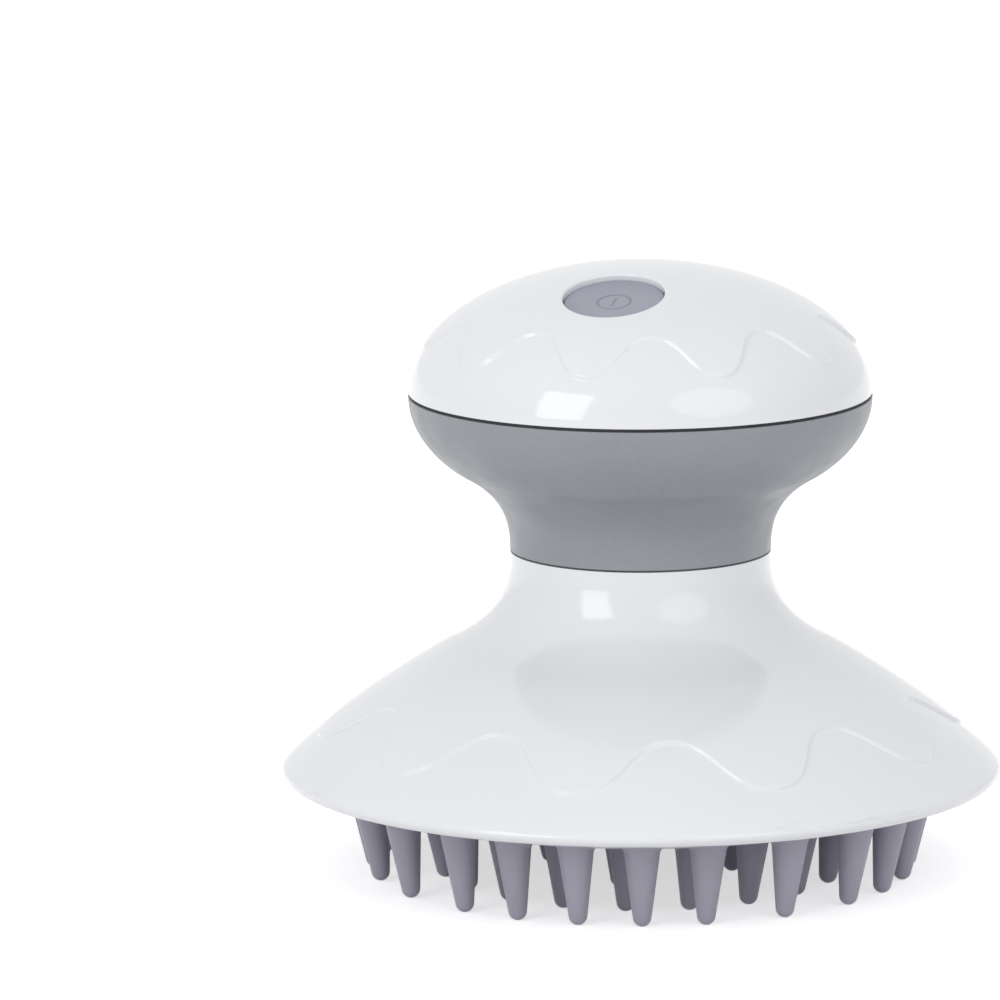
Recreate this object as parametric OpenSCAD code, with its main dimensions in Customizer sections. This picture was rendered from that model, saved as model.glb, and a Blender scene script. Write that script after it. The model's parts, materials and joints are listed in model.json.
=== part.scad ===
// Hand-held electric scalp massager: a domed cap with a push button, a waisted grip
// that holds three AAA cells, a flared base with a vibration motor, and a soft pad
// of 53 bristles. Origin: bristle tips' plane on the axis. +Z up, button towards -Y.

/* [Cap] */
// How far the cap's lower edge lies inside the grip's
cap_set = 0.1; // [0:0.05:0.6]
// Height of the dome above its lower edge
cap_rise = 21.25; // [19:0.25:26]
// Squareness of the dome's profile, where 2 is an ellipse
cap_power = 2; // [1.95:0.05:2.4]
// Wall of the cap
cap_wall = 2.2; // [1.8:0.1:2.8]
// Height of the raised scalloped skin on the cap
cap_relief = 0.45; // [0.2:0.05:0.8]
// Distance of the scalloped edge inside the cap's edge, on average
cap_wave_in = 5.6; // [4.6:0.1:7.6]
// Half the depth of the scallops on the cap
cap_wave_a = 3; // [1:0.1:3.2]
// Scallops round the cap
cap_waves = 10; // [6:1:14]
// Depth of the cap's spigot inside the grip
spigot_h = 4.6; // [3:0.2:5]
// Width of the seam's land outside the spigot
land_w = 4.7; // [4.3:0.1:6]
// Wall of the spigot
spigot_t = 2; // [1.6:0.1:2.4]

/* [Button] */
// Radius of the push button
button_r = 8.3; // [7:0.1:9]
// Distance of the button's middle from the axis
button_y = 17.5; // [17:0.1:19.5]
// Running gap between the button and its bore
button_gap = 0.1; // [0.08:0.01:0.2]
// Depth of the edge of the button's face under the dome
button_recess = 1.15; // [1:0.05:1.6]
// Height of the button's body
button_h = 2.7; // [2.4:0.1:3.2]
// Overhang of the flange that keeps the button in
flange_w = 1.7; // [1.2:0.1:1.8]
// Thickness of the flange
flange_t = 0.8; // [0.6:0.1:1]
// Travel of the button
press = 0.6; // [0.3:0.1:0.8]
// Depth of the dish in the button's face
button_dish = 0.35; // [0.1:0.05:0.5]

/* [Switch board] */
// Radius of the control board
board_r = 15.2; // [14.6:0.1:15.6]
// Thickness of the control board
board_t = 1.2; // [1:0.1:1.6]
// Side of the push switch
switch_w = 6; // [5:0.5:7]
// Height of the push switch's case
switch_h = 3.2; // [3:0.1:3.8]
// Radius of the switch plunger
plunger_r = 1.7; // [1.4:0.1:2]
// Radius of the circle of board screws
board_screw_r = 12.9; // [12.7:0.1:13.1]

/* [Grip] */
// Radius of the grip at the seam under the cap
grip_r = 38.7; // [37.5:0.1:42]
// Radius of the neck
neck_r = 21.8; // [21.4:0.1:24]
// Height of the grip, from the neck seam to the cap seam
grip_h = 25.9; // [25.9:0.1:30]
// Wall of the grip
grip_wall = 2.2; // [1.8:0.1:2.3]
// Thickness of the seal under the cap
seal_t = 0.45; // [0.3:0.05:0.8]
// Thickness of the gasket in the neck seam
gasket_t = 0.25; // [0.2:0.05:0.5]

/* [Base] */
// Radius of the base at its rim
base_r = 60.4; // [58:0.2:66]
// Height of the base, from the rim's lower edge to the neck seam
base_h = 38; // [36:0.5:44]
// Slope of the base's flank, in degrees
flank_slope = 27.6; // [25:0.2:30]
// Wall of the base
base_wall = 2; // [1.6:0.1:2.2]
// Radius of the rounded rim
rim_round = 1.5; // [1:0.1:2]
// Width of the rim outside the soft pad
rim_w = 2.15; // [2:0.05:3]
// Height of the raised scalloped skin on the base
base_relief = 0.4; // [0.2:0.05:0.6]
// Distance of the scalloped edge inside the base's rim, on average
base_wave_in = 10.9; // [8.4:0.1:16.4]
// Half the depth of the scallops on the base
base_wave_a = 4.6; // [2:0.1:5]
// Scallops round the base
base_waves = 10; // [6:1:14]
// Clocking of the base against the button, in degrees
base_turn = 2.5; // [-15:0.5:15]

/* [Bristle pad] */
// Thickness of the soft pad
pad_t = 2; // [1.6:0.1:2.4]
// Depth of the pad's dome, from its edge to its middle
pad_sag = 8.3; // [7.8:0.1:9]
// Length of the bristle in the middle
mid_len = 8; // [7.6:0.1:10]
// Radius of a bristle's round tip
tip_r = 1.55; // [1.3:0.05:1.8]
// Taper of a bristle, half the cone's angle in degrees
taper = 7.1; // [5:0.1:7.5]
// Lean of the bristles towards the middle, in degrees
lean = 7; // [0:0.5:8]
// Distance of the outer ring of tips inside the pad's edge
outer_ring_in = 13.2; // [12:0.1:14.4]
// Distance of the inner ring of tips inside the pad's edge
inner_ring_in = 24.3; // [23.6:0.1:26]
// Bristles in the inner ring
inner_count = 20; // [12:1:22]
// Radius of the middle ring of tips
middle_ring_r = 15.7; // [12:0.1:20]
// Bristles in the middle ring
middle_count = 8; // [5:1:10]
// Bristles in each quarter of the outer ring, the one beside the screw included
quarter_count = 6; // [4:1:6]
// Wider step of the outer ring beside each screw, in degrees
screw_step = 18; // [17:0.5:20]
// Radius of the screw holes in the pad
pad_hole_r = 2.5; // [2.4:0.05:2.8]
// Clocking of the pad and its screws against the button, in degrees
pad_turn = 46.2; // [30:0.1:60]
// Distance of the pad screws inside the pad's edge
pad_screw_in = 18.4; // [17.8:0.1:19]

/* [Backing plate] */
// Width of the pad's edge outside the backing plate
pad_edge_w = 4.2; // [4:0.1:6]
// Thickness of the backing plate
back_t = 2.5; // [2:0.1:2.8]
// Height of the tubes round the pad screws, above the tips
tube_top = 26; // [24:0.2:27]
// Radius of the tubes round the pad screws
tube_r = 4.1; // [3.9:0.1:4.6]
// Stiffening ribs on the backing plate
rib_count = 8; // [4:4:12]

/* [Motor] */
// Radius of the motor's can
motor_r = 12.2; // [11:0.1:12.4]
// Length of the motor's can
motor_h = 11.8; // [11:0.1:12]
// Thickness of the rubber sleeve
sleeve_t = 1.4; // [1:0.1:1.6]
// Wall of the motor cup
cup_wall = 1.6; // [1.4:0.1:2]
// Radius of the motor's shaft
shaft_r = 1; // [0.8:0.1:1.2]
// Radius of the eccentric weight
weight_r = 9.5; // [7:0.1:10.5]
// Height of the eccentric weight
weight_h = 4; // [3:0.1:4.2]

/* [Cells] */
// Radius of an AAA cell
cell_r = 5.25; // [5:0.05:5.25]
// Length of an AAA cell with its terminal
cell_h = 44.5; // [43:0.1:44.6]
// Radius of the circle of cells
cell_ring_r = 7.6; // [7.5:0.05:7.7]
// Radius of the battery tray's tube
tray_r = 14.9; // [14.7:0.05:14.95]
// Height of the springs under the cells
spring_h = 1.3; // [1:0.1:1.5]

/* [Hidden] */

$fn = 96;
eps = 0.01;
gap = 0.05;          // between seated pieces
soft_gap = 0.1;      // round soft pieces
screw_gap = 0.05;    // round a screw in its pilot hole
screw_r = 1;         // small self-tapping screws
head_r = 1.9;
head_h = 1.2;
through_r = 1.25;    // clearance hole for a small screw

past = 1;            // how far a cut runs past the face it opens
reach = 20;          // length of a post before a shell's skin cuts it short

// Thicknesses of the inner plates and walls
seat_h = 1.2;
cup_floor_t = 1.4;
clamp_t = 1;
tray_floor_t = 1.2;
contact_t = 0.35;
dimple_h = 1.2;
carrier_t = 1.5;
deck_t = 1.7;
deck_rise = 19;      // from the neck seam up to the deck
strip_t = 0.3;
ledge_t = 2;
boss_h = 1.4;
tube_wall_t = 2;

// The cap follows the grip, and a scalloped edge follows the rim that it runs along
cap_r = grip_r - cap_set;
cap_wave_r = cap_r - cap_wave_in;
base_wave_r = base_r - base_wave_in;

// The pad lies inside the rim. The backing plate, the rings and the screws follow its edge.
pad_gap = 0.25;      // between the pad and the base
pad_r = base_r - rim_w - pad_gap;
back_r = pad_r - pad_edge_w;
outer_ring_r = pad_r - outer_ring_in;
inner_ring_r = pad_r - inner_ring_in;
pad_screw_r = pad_r - pad_screw_in;

// Heights above the plane of the tips: the shells
rim_z = mid_len + pad_sag;
neck_z = rim_z + base_h;
grip_z = neck_z + gasket_t + 2 * gap;
seam_z = grip_z + grip_h;
cap_z = seam_z + seal_t + 2 * gap;
ledge_top_z = neck_z - 1.8;
deck_z = grip_z + deck_rise;
deck_top_z = deck_z + deck_t;

// The motor, the tray and the cells, one on the other
seat_top_z = mid_len + pad_t + back_t + seat_h;
cup_z = seat_top_z + gap;
motor_z = cup_z + cup_floor_t + gap;
motor_top_z = motor_z + motor_h;
clamp_z = motor_top_z + gap;
weight_z = clamp_z + clamp_t + head_h;
shaft_z = motor_z + 2.2;
shaft_top_z = weight_z + weight_h + 0.6;
tray_foot_z = shaft_top_z + 0.15;
tray_floor_z = tray_foot_z + tray_floor_t;
spring_z = tray_floor_z + contact_t + 2 * gap;
cell_foot_z = spring_z + spring_h;
cell_top_z = cell_foot_z + cell_h;
carrier_z = cell_top_z + dimple_h + contact_t + 2 * gap;
carrier_top_z = carrier_z + carrier_t;

// ---- Profiles -----------------------------------------------------------------

function bezier(a, b, c, d, n) =
    [for (i = [0:n]) let (t = i / n, u = 1 - t)
        u * u * u * a + 3 * u * u * t * b + 3 * u * t * t * c + t * t * t * d];
function heading(a) = [cos(a), sin(a)];
function tail(path) = [for (i = [1:len(path) - 1]) path[i]];
function flipped(path) = [for (i = [len(path) - 1:-1:0]) path[i]];
function last(path) = path[len(path) - 1];

// Moves a path that runs downwards towards the inside of its shell by d, and keeps
// it on the axis at the top and above the path's own foot
function inset(path, d) =
    [for (i = [0:len(path) - 1])
        let (a = path[max(i - 1, 0)],
             b = path[min(i + 1, len(path) - 1)],
             t = (b - a) / norm(b - a),
             p = path[i] + d * [t[1], -t[0]])
        [max(p[0], 0), max(p[1], last(path)[1])]];

// Height of the dome over a radius, and its slope there in degrees
function dome_z(r) = cap_z + cap_rise * pow(1 - pow(r / cap_r, cap_power), 1 / cap_power);
function dome_slope(r) = atan((dome_z(r - 0.05) - dome_z(r + 0.05)) / 0.1);

dome_steps = 22;
dome_path =
    [for (i = [0:dome_steps])
        let (t = 90 - 90 * i / dome_steps)
        [cap_r * pow(max(cos(t), 0), 2 / cap_power),
         cap_z + cap_rise * pow(sin(t), 2 / cap_power)]];

// The grip: a bowl that narrows into the neck, through one point on its flank. A pull
// is the length of a curve's handle at one of its ends.
bowl_out = 8.4;
bowl_up = 13.15;
bowl_slope = 28.8;
bowl_top_pull = 7;
bowl_in_pull = 2.5;
bowl_out_pull = 7.5;
bowl_foot_pull = 5.4;
bowl_mid = [neck_r + bowl_out, grip_z + bowl_up];
grip_path = concat(
    bezier([grip_r, seam_z], [grip_r, seam_z - bowl_top_pull],
           bowl_mid + bowl_in_pull * heading(bowl_slope), bowl_mid, 12),
    tail(bezier(bowl_mid, bowl_mid - bowl_out_pull * heading(bowl_slope),
                [neck_r, grip_z + bowl_foot_pull], [neck_r, grip_z], 12)));

// The base: a throat, a nearly straight flank and a rounded rim
flank_in = 28.4;    // from the rim inwards to the middle of the flank
flank_up = 22;
flank_mid = [base_r - flank_in, rim_z + flank_up];
throat_in = 0.35;   // from the neck's wall inwards to the end of the flank's upper handle
throat_pull = 3.2;
flank_in_pull = (flank_mid[0] - neck_r + throat_in) / cos(flank_slope);
flank_out_pull = 12.1;
rim_pull = 1.8;
throat_steps = 12;
base_path = concat(
    bezier([neck_r, neck_z], [neck_r, neck_z - throat_pull],
           flank_mid - flank_in_pull * heading(-flank_slope), flank_mid, throat_steps),
    tail(bezier(flank_mid, flank_mid + flank_out_pull * heading(-flank_slope),
                [base_r, rim_z + rim_round + rim_pull], [base_r, rim_z + rim_round], 14)),
    [for (a = [-22.5:-22.5:-90])
        [base_r - rim_round, rim_z + rim_round] + rim_round * heading(a)]);

// ---- Shared shapes ------------------------------------------------------------

module ring(n, r, start = 0) {
    for (i = [0:n - 1]) rotate([0, 0, start + 360 * i / n]) translate([r, 0, 0]) children();
}

module tube(r_out, r_in, h) {
    difference() {
        cylinder(r = r_out, h = h);
        translate([0, 0, -past]) cylinder(r = r_in, h = h + 2 * past);
    }
}

// A pan-head screw with a cross recess. Its shank points up from z = 0.
module screw(shank) {
    difference() {
        union() {
            translate([0, 0, -head_h]) cylinder(r = head_r, h = head_h, $fn = 32);
            cylinder(r = screw_r, h = shank, $fn = 24);
        }
        for (a = [0, 90]) rotate([0, 0, a])
            translate([-1.2, -0.3, -head_h - eps]) cube([2.4, 0.6, 0.6]);
    }
}

// Everything inside a path that runs down from the axis
module bulk(path, foot_z) {
    rotate_extrude() polygon(concat([[0, foot_z], [0, path[0][1]]], path,
                                    [[last(path)[0], foot_z]]));
}

// The skin between a path's inset d0 and its inset d1
module skin(path, d0, d1) {
    rotate_extrude() polygon(concat(inset(path, d0), flipped(inset(path, d1))));
}

// A path raised by d, from nothing at its top to the whole of it after n points
function raised(path, d, n) =
    let (full = inset(path, -d))
    [for (i = [0:len(path) - 1])
        let (s = min(i / n, 1)) path[i] + s * s * (3 - 2 * s) * (full[i] - path[i])];

// A scalloped prism, with a lobe towards -Y. Its lobes are fuller than a cosine's.
module scallops(r, a, n, z0, z1) {
    steps = n * 12;
    translate([0, 0, z0]) linear_extrude(z1 - z0) polygon(
        [for (i = [0:steps - 1])
            let (t = 360 * i / steps)
            (r + a * sin(90 * cos(n * t))) * heading(t - 90)]);
}

// The button's own frame: its origin on the dome, +Z out along the dome's normal
module at_button() {
    translate([0, -button_y, dome_z(button_y)]) rotate([dome_slope(button_y), 0, 0]) children();
}

// ---- Cap ----------------------------------------------------------------------

bore_r = button_r + button_gap;
lip_w = 0.5;         // chamfer round the bore, cut down from the raised dome
bore_drop = (dome_z(button_y) - dome_z(norm([bore_r, button_y]))) * cos(dome_slope(button_y));
lip_low_w = cap_relief - bore_drop - lip_w;
flange_r = button_r + flange_w;
collar_r = flange_r + 0.6;
face_w = -button_recess;
flange_w_top = face_w - button_h;
flange_w_low = flange_w_top - flange_t;
gasket_h = 0.6;
collar_w = flange_w_top + gasket_h + 2 * gap;
stem_h = 0.4;
plunger_w = flange_w_low - stem_h - gap;
plunger_out = 0.8;
plunger_in = 1.4;
switch_top_w = plunger_w - plunger_out;
board_top_w = switch_top_w - switch_h;
board_low_w = board_top_w - board_t;
post_r = 2;
post_start = 90;

spigot_r = grip_r - land_w;
spigot_in_r = spigot_r - spigot_t;
flange_h = 1.2;      // ledge that joins the spigot to the dome
carrier_r = spigot_in_r - 0.5;
carrier_post_r = carrier_r - 3;
carrier_start = 90;
post_bite = 4;       // depth of a screw in its post
pin_x = 21;
pin_r = 1.2;
pin_head = 0.8;
rivet_r = 1;
rivet_out = 0.8;

module cap_posts() {
    at_button() ring(3, board_screw_r, post_start)
        translate([0, 0, board_top_w + gap]) cylinder(r = post_r, h = reach, $fn = 32);
    ring(3, carrier_post_r, carrier_start)
        translate([0, 0, carrier_top_z + gap]) cylinder(r = post_r + 0.4, h = reach, $fn = 32);
    at_button() translate([0, 0, collar_w]) cylinder(r = collar_r, h = reach);
}

module cap_holes() {
    at_button() {
        translate([0, 0, board_top_w]) cylinder(r = bore_r, h = reach);
        translate([0, 0, board_top_w]) cylinder(r = flange_r + 0.3, h = collar_w - board_top_w);
        translate([0, 0, lip_low_w]) cylinder(r1 = bore_r, r2 = bore_r + 2 * lip_w, h = 2 * lip_w);
        ring(3, board_screw_r, post_start) translate([0, 0, board_low_w])
            cylinder(r = screw_r + screw_gap, h = board_t + post_bite + 0.2, $fn = 24);
    }
    ring(3, carrier_post_r, carrier_start) translate([0, 0, carrier_z])
        cylinder(r = screw_r + screw_gap, h = carrier_t + post_bite + 0.2, $fn = 24);
}

module top_cap() {
    color("whitesmoke") difference() {
        union() {
            skin(dome_path, 0, cap_wall);
            intersection() {
                skin(dome_path, -cap_relief, cap_wall / 2);
                scallops(cap_wave_r, cap_wave_a, cap_waves, cap_z - past, cap_z + cap_rise + past);
            }
            intersection() {
                cap_posts();
                bulk(inset(dome_path, cap_wall / 2), cap_z);
            }
            translate([0, 0, seam_z - spigot_h])
                tube(spigot_r, spigot_in_r, cap_z - seam_z + spigot_h + flange_h);
            translate([0, 0, cap_z]) tube(cap_r - cap_wall / 2, spigot_in_r, flange_h);
        }
        cap_holes();
    }
}

module power_button() {
    color("#9ea0ad") at_button() {
        face_steps = 6;
        face = [for (i = [0:face_steps])
            let (s = i / face_steps) [button_r * s, face_w - button_dish * (1 - s * s)]];
        rotate_extrude() polygon(concat(face, [
            [button_r, flange_w_top], [flange_r, flange_w_top], [flange_r, flange_w_low],
            [plunger_r + 0.3, flange_w_low], [plunger_r + 0.3, flange_w_low - stem_h],
            [0, flange_w_low - stem_h]]));
    }
}

module switch_plunger() {
    color("dimgray") at_button() translate([0, 0, switch_top_w - plunger_in])
        cylinder(r = plunger_r, h = plunger_out + plunger_in, $fn = 48);
}

module button_gasket() {
    color("#404244") at_button() translate([0, 0, flange_w_top + gap])
        tube(flange_r, bore_r + 0.3, gasket_h);
}

module control_board() {
    color("darkgreen") at_button() {
        difference() {
            translate([0, 0, board_low_w]) cylinder(r = board_r, h = board_t);
            ring(3, board_screw_r, post_start) translate([0, 0, board_low_w - past])
                cylinder(r = through_r, h = board_t + 2 * past, $fn = 24);
        }
        for (x = [-7, 5.5]) translate([x, 3, board_top_w - eps]) cube([3, 2, 1]);
        translate([-2.5, -9.5, board_top_w - eps]) cube([5, 4, 1.2]);
    }
}

module tact_switch() {
    pocket = plunger_in + press + 0.2;
    color("#303236") at_button() difference() {
        translate([-switch_w / 2, -switch_w / 2, board_top_w + gap])
            cube([switch_w, switch_w, switch_h - gap]);
        translate([0, 0, switch_top_w - pocket])
            cylinder(r = plunger_r + 0.06, h = pocket + past, $fn = 48);
    }
}

module board_screws() {
    color("silver") at_button() ring(3, board_screw_r, post_start)
        translate([0, 0, board_low_w - gap]) screw(board_t + post_bite);
}

module contact_carrier() {
    color("#4a4c50") difference() {
        translate([0, 0, carrier_z]) cylinder(r = carrier_r, h = carrier_t);
        ring(3, carrier_post_r, carrier_start) translate([0, 0, carrier_z - past])
            cylinder(r = through_r, h = carrier_t + 2 * past, $fn = 24);
        ring(3, cell_ring_r, 90) translate([0, 0, carrier_z - past])
            cylinder(r = rivet_r + 0.2, h = carrier_t + 2 * past, $fn = 24);
        for (x = [-1, 1]) translate([x * pin_x, 0, carrier_z - past])
            cylinder(r = pin_r + gap, h = carrier_t + 2 * past, $fn = 32);
    }
}

module carrier_screws() {
    color("silver") ring(3, carrier_post_r, carrier_start)
        translate([0, 0, carrier_z - gap]) screw(carrier_t + post_bite);
}

module top_contacts() {
    leaf_w = 8;
    dimple_r = 1.6;
    dimple_root_r = 2.6;
    color("#c9b06a") ring(3, cell_ring_r, 90) {
        translate([-leaf_w / 2, -leaf_w / 2, carrier_z - gap - contact_t])
            cube([leaf_w, leaf_w, contact_t]);
        translate([0, 0, cell_top_z + gap])
            cylinder(r1 = dimple_r, r2 = dimple_root_r, h = dimple_h + eps, $fn = 32);
        translate([0, 0, carrier_z - gap - eps])
            cylinder(r = rivet_r, h = carrier_t + rivet_out, $fn = 24);
    }
}

pin_foot_z = deck_top_z + strip_t + 2 * gap;
pin_top_z = carrier_top_z + pin_head;

module contact_pins() {
    color("#c9b06a") for (x = [-1, 1]) translate([x * pin_x, 0, 0]) {
        translate([0, 0, pin_foot_z]) cylinder(r = pin_r, h = pin_top_z - pin_foot_z, $fn = 32);
        translate([0, 0, carrier_z - gap - pin_head])
            cylinder(r = pin_r + 0.6, h = pin_head, $fn = 32);
    }
}

// A wire up from the origin, over by run towards +X and up again to a top end
module step_wire(r, bend, rise, run, top) {
    mid = rise + bend;
    cylinder(r = r, h = rise, $fn = 16);
    translate([bend, 0, rise]) rotate([90, 0, 0]) rotate([0, 0, 90])
        rotate_extrude(angle = 90) translate([bend, 0]) circle(r = r, $fn = 16);
    translate([bend, 0, mid]) rotate([0, 90, 0]) cylinder(r = r, h = run - 2 * bend, $fn = 16);
    translate([run - bend, 0, mid + bend]) rotate([90, 0, 0]) rotate([0, 0, -90])
        rotate_extrude(angle = 90) translate([bend, 0]) circle(r = r, $fn = 16);
    translate([run, 0, mid + bend]) cylinder(r = r, h = top - mid - bend, $fn = 16);
}

// Two wires from the pins to the lower face of the board
module board_wires() {
    wire_r = 0.6;
    foot_z = pin_top_z + gap;
    end = [8.5, 3.5];    // where a wire meets the board, beside the switch
    end_y = -button_y - board_low_w * sin(dome_slope(button_y)) + end[1] * cos(dome_slope(button_y));
    end_z = dome_z(button_y) + board_low_w * cos(dome_slope(button_y))
        + end[1] * sin(dome_slope(button_y));
    way = [end[0] - pin_x, end_y];
    color("firebrick") for (side = [0, 1]) mirror([side, 0, 0]) translate([pin_x, 0, foot_z])
        rotate([0, 0, atan2(way[1], way[0])])
            step_wire(wire_r, 1.4, 0.5, norm(way), end_z - foot_z - 0.25);
}

module cap_seal() {
    color("#2d2f32") translate([0, 0, seam_z + gap])
        tube(grip_r - 0.5, spigot_r + soft_gap, seal_t);
}

// ---- Grip and cells -----------------------------------------------------------

collar_bore_r = spigot_r + soft_gap;
deck_boss_w = 3;     // radius of a boss under the deck
deck_boss_in = 6.5;  // from the spigot's outside inwards to the tray screws
deck_boss_r = spigot_r - deck_boss_in;
deck_r = deck_boss_r + deck_boss_w;
deck_start = 30;
deck_bite = 4.5;     // depth of a tray screw in its boss
neck_screw_r = tray_r + head_r + 0.65;
neck_start = 90;
neck_boss_r = 2.2;
neck_bite = 6;       // depth of a neck screw in its boss
neck_boss_up = 5;    // how far a neck boss runs on past its screw
neck_web_h = 8;      // height of the webs that join the neck bosses to the wall
deck_boss_foot = 8;  // from the neck seam up to the foot of a deck boss

module grip_shell() {
    inner = [for (p = inset(grip_path, grip_wall)) if (p[0] < collar_bore_r) p];
    color("#8c9397") difference() {
        union() {
            rotate_extrude() polygon(concat(grip_path,
                [[neck_r - grip_wall, grip_z]], flipped(inner),
                [[collar_bore_r, inner[0][1]], [collar_bore_r, seam_z]]));
            intersection() {
                ring(3, deck_boss_r, deck_start) translate([0, 0, grip_z + deck_boss_foot])
                    cylinder(r = deck_boss_w, h = deck_z - gap - grip_z - deck_boss_foot, $fn = 40);
                bulk(concat([[0, seam_z]], inset(grip_path, grip_wall / 2)), grip_z);
            }
            ring(3, neck_screw_r, neck_start) {
                translate([0, 0, ledge_top_z + gap])
                    cylinder(r = neck_boss_r, h = neck_bite + neck_boss_up, $fn = 40);
                translate([0, -1.5, grip_z]) cube([neck_r - 1 - neck_screw_r, 3, neck_web_h]);
            }
        }
        ring(3, deck_boss_r, deck_start) translate([0, 0, deck_z - deck_bite - 0.5])
            cylinder(r = screw_r + screw_gap, h = deck_bite + past, $fn = 24);
        ring(3, neck_screw_r, neck_start) translate([0, 0, ledge_top_z - past])
            cylinder(r = screw_r + screw_gap, h = neck_bite + 0.5 + past, $fn = 24);
    }
}

module neck_gasket() {
    color("#3a3c40") translate([0, 0, neck_z + gap])
        tube(neck_r - 0.4, neck_screw_r + neck_boss_r + soft_gap, gasket_t);
}

module neck_screws() {
    color("silver") ring(3, neck_screw_r, neck_start)
        translate([0, 0, ledge_top_z - ledge_t - gap]) screw(ledge_t + neck_bite);
}

strip_w = 4;
strip_x = tray_r + 0.3;

// Slots for the two power strips, through a plate that starts at z and is t thick
module strip_slots(z, t) {
    for (x = [-1, 1])
        translate([x * strip_x - strip_t / 2 - soft_gap, -strip_w / 2 - soft_gap, z - past])
            cube([strip_t + 2 * soft_gap, strip_w + 2 * soft_gap, t + 2 * past]);
}

module battery_tray() {
    color("#55585c") difference() {
        union() {
            translate([0, 0, tray_foot_z]) cylinder(r = tray_r, h = deck_top_z - tray_foot_z);
            translate([0, 0, deck_z]) cylinder(r = deck_r, h = deck_t);
        }
        ring(3, cell_ring_r, 90) {
            translate([0, 0, tray_floor_z])
                cylinder(r = cell_r + 0.35, h = deck_top_z - tray_floor_z + past);
            translate([0, 0, tray_foot_z - past])
                cylinder(r = rivet_r + 0.2, h = tray_floor_t + 2 * past, $fn = 24);
        }
        ring(3, deck_boss_r, deck_start) translate([0, 0, deck_z - past])
            cylinder(r = through_r, h = deck_t + 2 * past, $fn = 24);
        strip_slots(deck_z, deck_t);
    }
}

module tray_screws() {
    color("silver") ring(3, deck_boss_r, deck_start)
        translate([0, 0, deck_top_z + gap]) mirror([0, 0, 1]) screw(deck_t + deck_bite);
}

// Three cells in series: the middle one stands on its terminal
module battery_cells() {
    nub_h = 0.9;
    nub_r = 1.9;
    color("#c8cacc") for (i = [0:2]) rotate([0, 0, 90 + 120 * i]) translate([cell_ring_r, 0, 0]) {
        down = i == 1;
        translate([0, 0, cell_foot_z + (down ? nub_h : 0)]) cylinder(r = cell_r, h = cell_h - nub_h);
        translate([0, 0, down ? cell_foot_z : cell_top_z - nub_h - eps])
            cylinder(r = nub_r, h = nub_h + eps, $fn = 32);
    }
}

module cell_contacts() {
    color("#c9b06a") ring(3, cell_ring_r, 90) {
        translate([0, 0, tray_floor_z + gap]) cylinder(r = 4.4, h = contact_t, $fn = 48);
        translate([0, 0, tray_foot_z]) cylinder(r = rivet_r, h = tray_floor_t + 2 * gap, $fn = 24);
    }
}

// A sweep of a regular polygon along points, each ring square to the path
function sweep_dir(p, i) =
    let (d = p[min(i + 1, len(p) - 1)] - p[max(i - 1, 0)]) d / norm(d);
module sweep(p, r, sides) {
    n = len(p);
    points = [for (i = [0:n - 1])
        let (t = sweep_dir(p, i),
             u = cross([0, 0, 1], t) / norm(cross([0, 0, 1], t)),
             v = cross(t, u))
        for (k = [0:sides - 1]) p[i] + r * (cos(360 * k / sides) * u + sin(360 * k / sides) * v)];
    walls = [for (i = [0:n - 2]) for (k = [0:sides - 1])
        let (a = i * sides + k, b = i * sides + (k + 1) % sides)
        for (f = [[a, b, b + sides], [a, b + sides, a + sides]]) f];
    polyhedron(points, concat([[for (k = [sides - 1:-1:0]) k]], walls,
                              [[for (k = [0:sides - 1]) (n - 1) * sides + k]]));
}

module cell_springs() {
    wire = 0.25;
    turns = 2;
    foot_z = spring_z + wire;
    top_z = cell_foot_z - gap - wire;
    color("silver") ring(3, cell_ring_r, 90) {
        steps = turns * 14;
        sweep([for (i = [0:steps])
            let (s = i / steps, a = 360 * turns * s, r = 3.9 - 1.6 * s)
            [r * cos(a), r * sin(a), foot_z + (top_z - foot_z) * s]], wire, 6);
    }
}

// Brass strips down the tray, each with a pad on the deck under its contact pin
module power_strips() {
    pad_len = pin_x + 2.5 - strip_x;
    tab_len = lead_x + lead_r + 0.5 - strip_x;
    color("#c9b06a") for (x = [-1, 1]) {
        translate([x * strip_x - strip_t / 2, -strip_w / 2, tray_foot_z])
            cube([strip_t, strip_w, deck_top_z + gap + strip_t - tray_foot_z]);
        translate([x > 0 ? strip_x - eps : -strip_x - tab_len + eps, -strip_w / 2, tray_foot_z])
            cube([tab_len, strip_w, strip_t]);
        translate([x > 0 ? strip_x - eps : -strip_x - pad_len + eps, -strip_w / 2, deck_top_z + gap])
            cube([pad_len, strip_w, strip_t]);
    }
}

// ---- Base ---------------------------------------------------------------------

// The pad's lower face is a shallow sphere, which bulges towards the tips
sphere_r = (pad_r * pad_r + pad_sag * pad_sag) / (2 * pad_sag);

// Height at a radius of the layer that lies d above the pad's lower face
function dish_z(r, d) = mid_len + sphere_r - sqrt(pow(sphere_r - d, 2) - r * r);

pocket_r = pad_r + pad_gap;
pocket_z = dish_z(pad_r, pad_t) + pad_gap;
pad_post_r = 3.6;
long_screw_r = 1.3;
long_bite = 5;       // depth of a pad screw in its post

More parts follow.
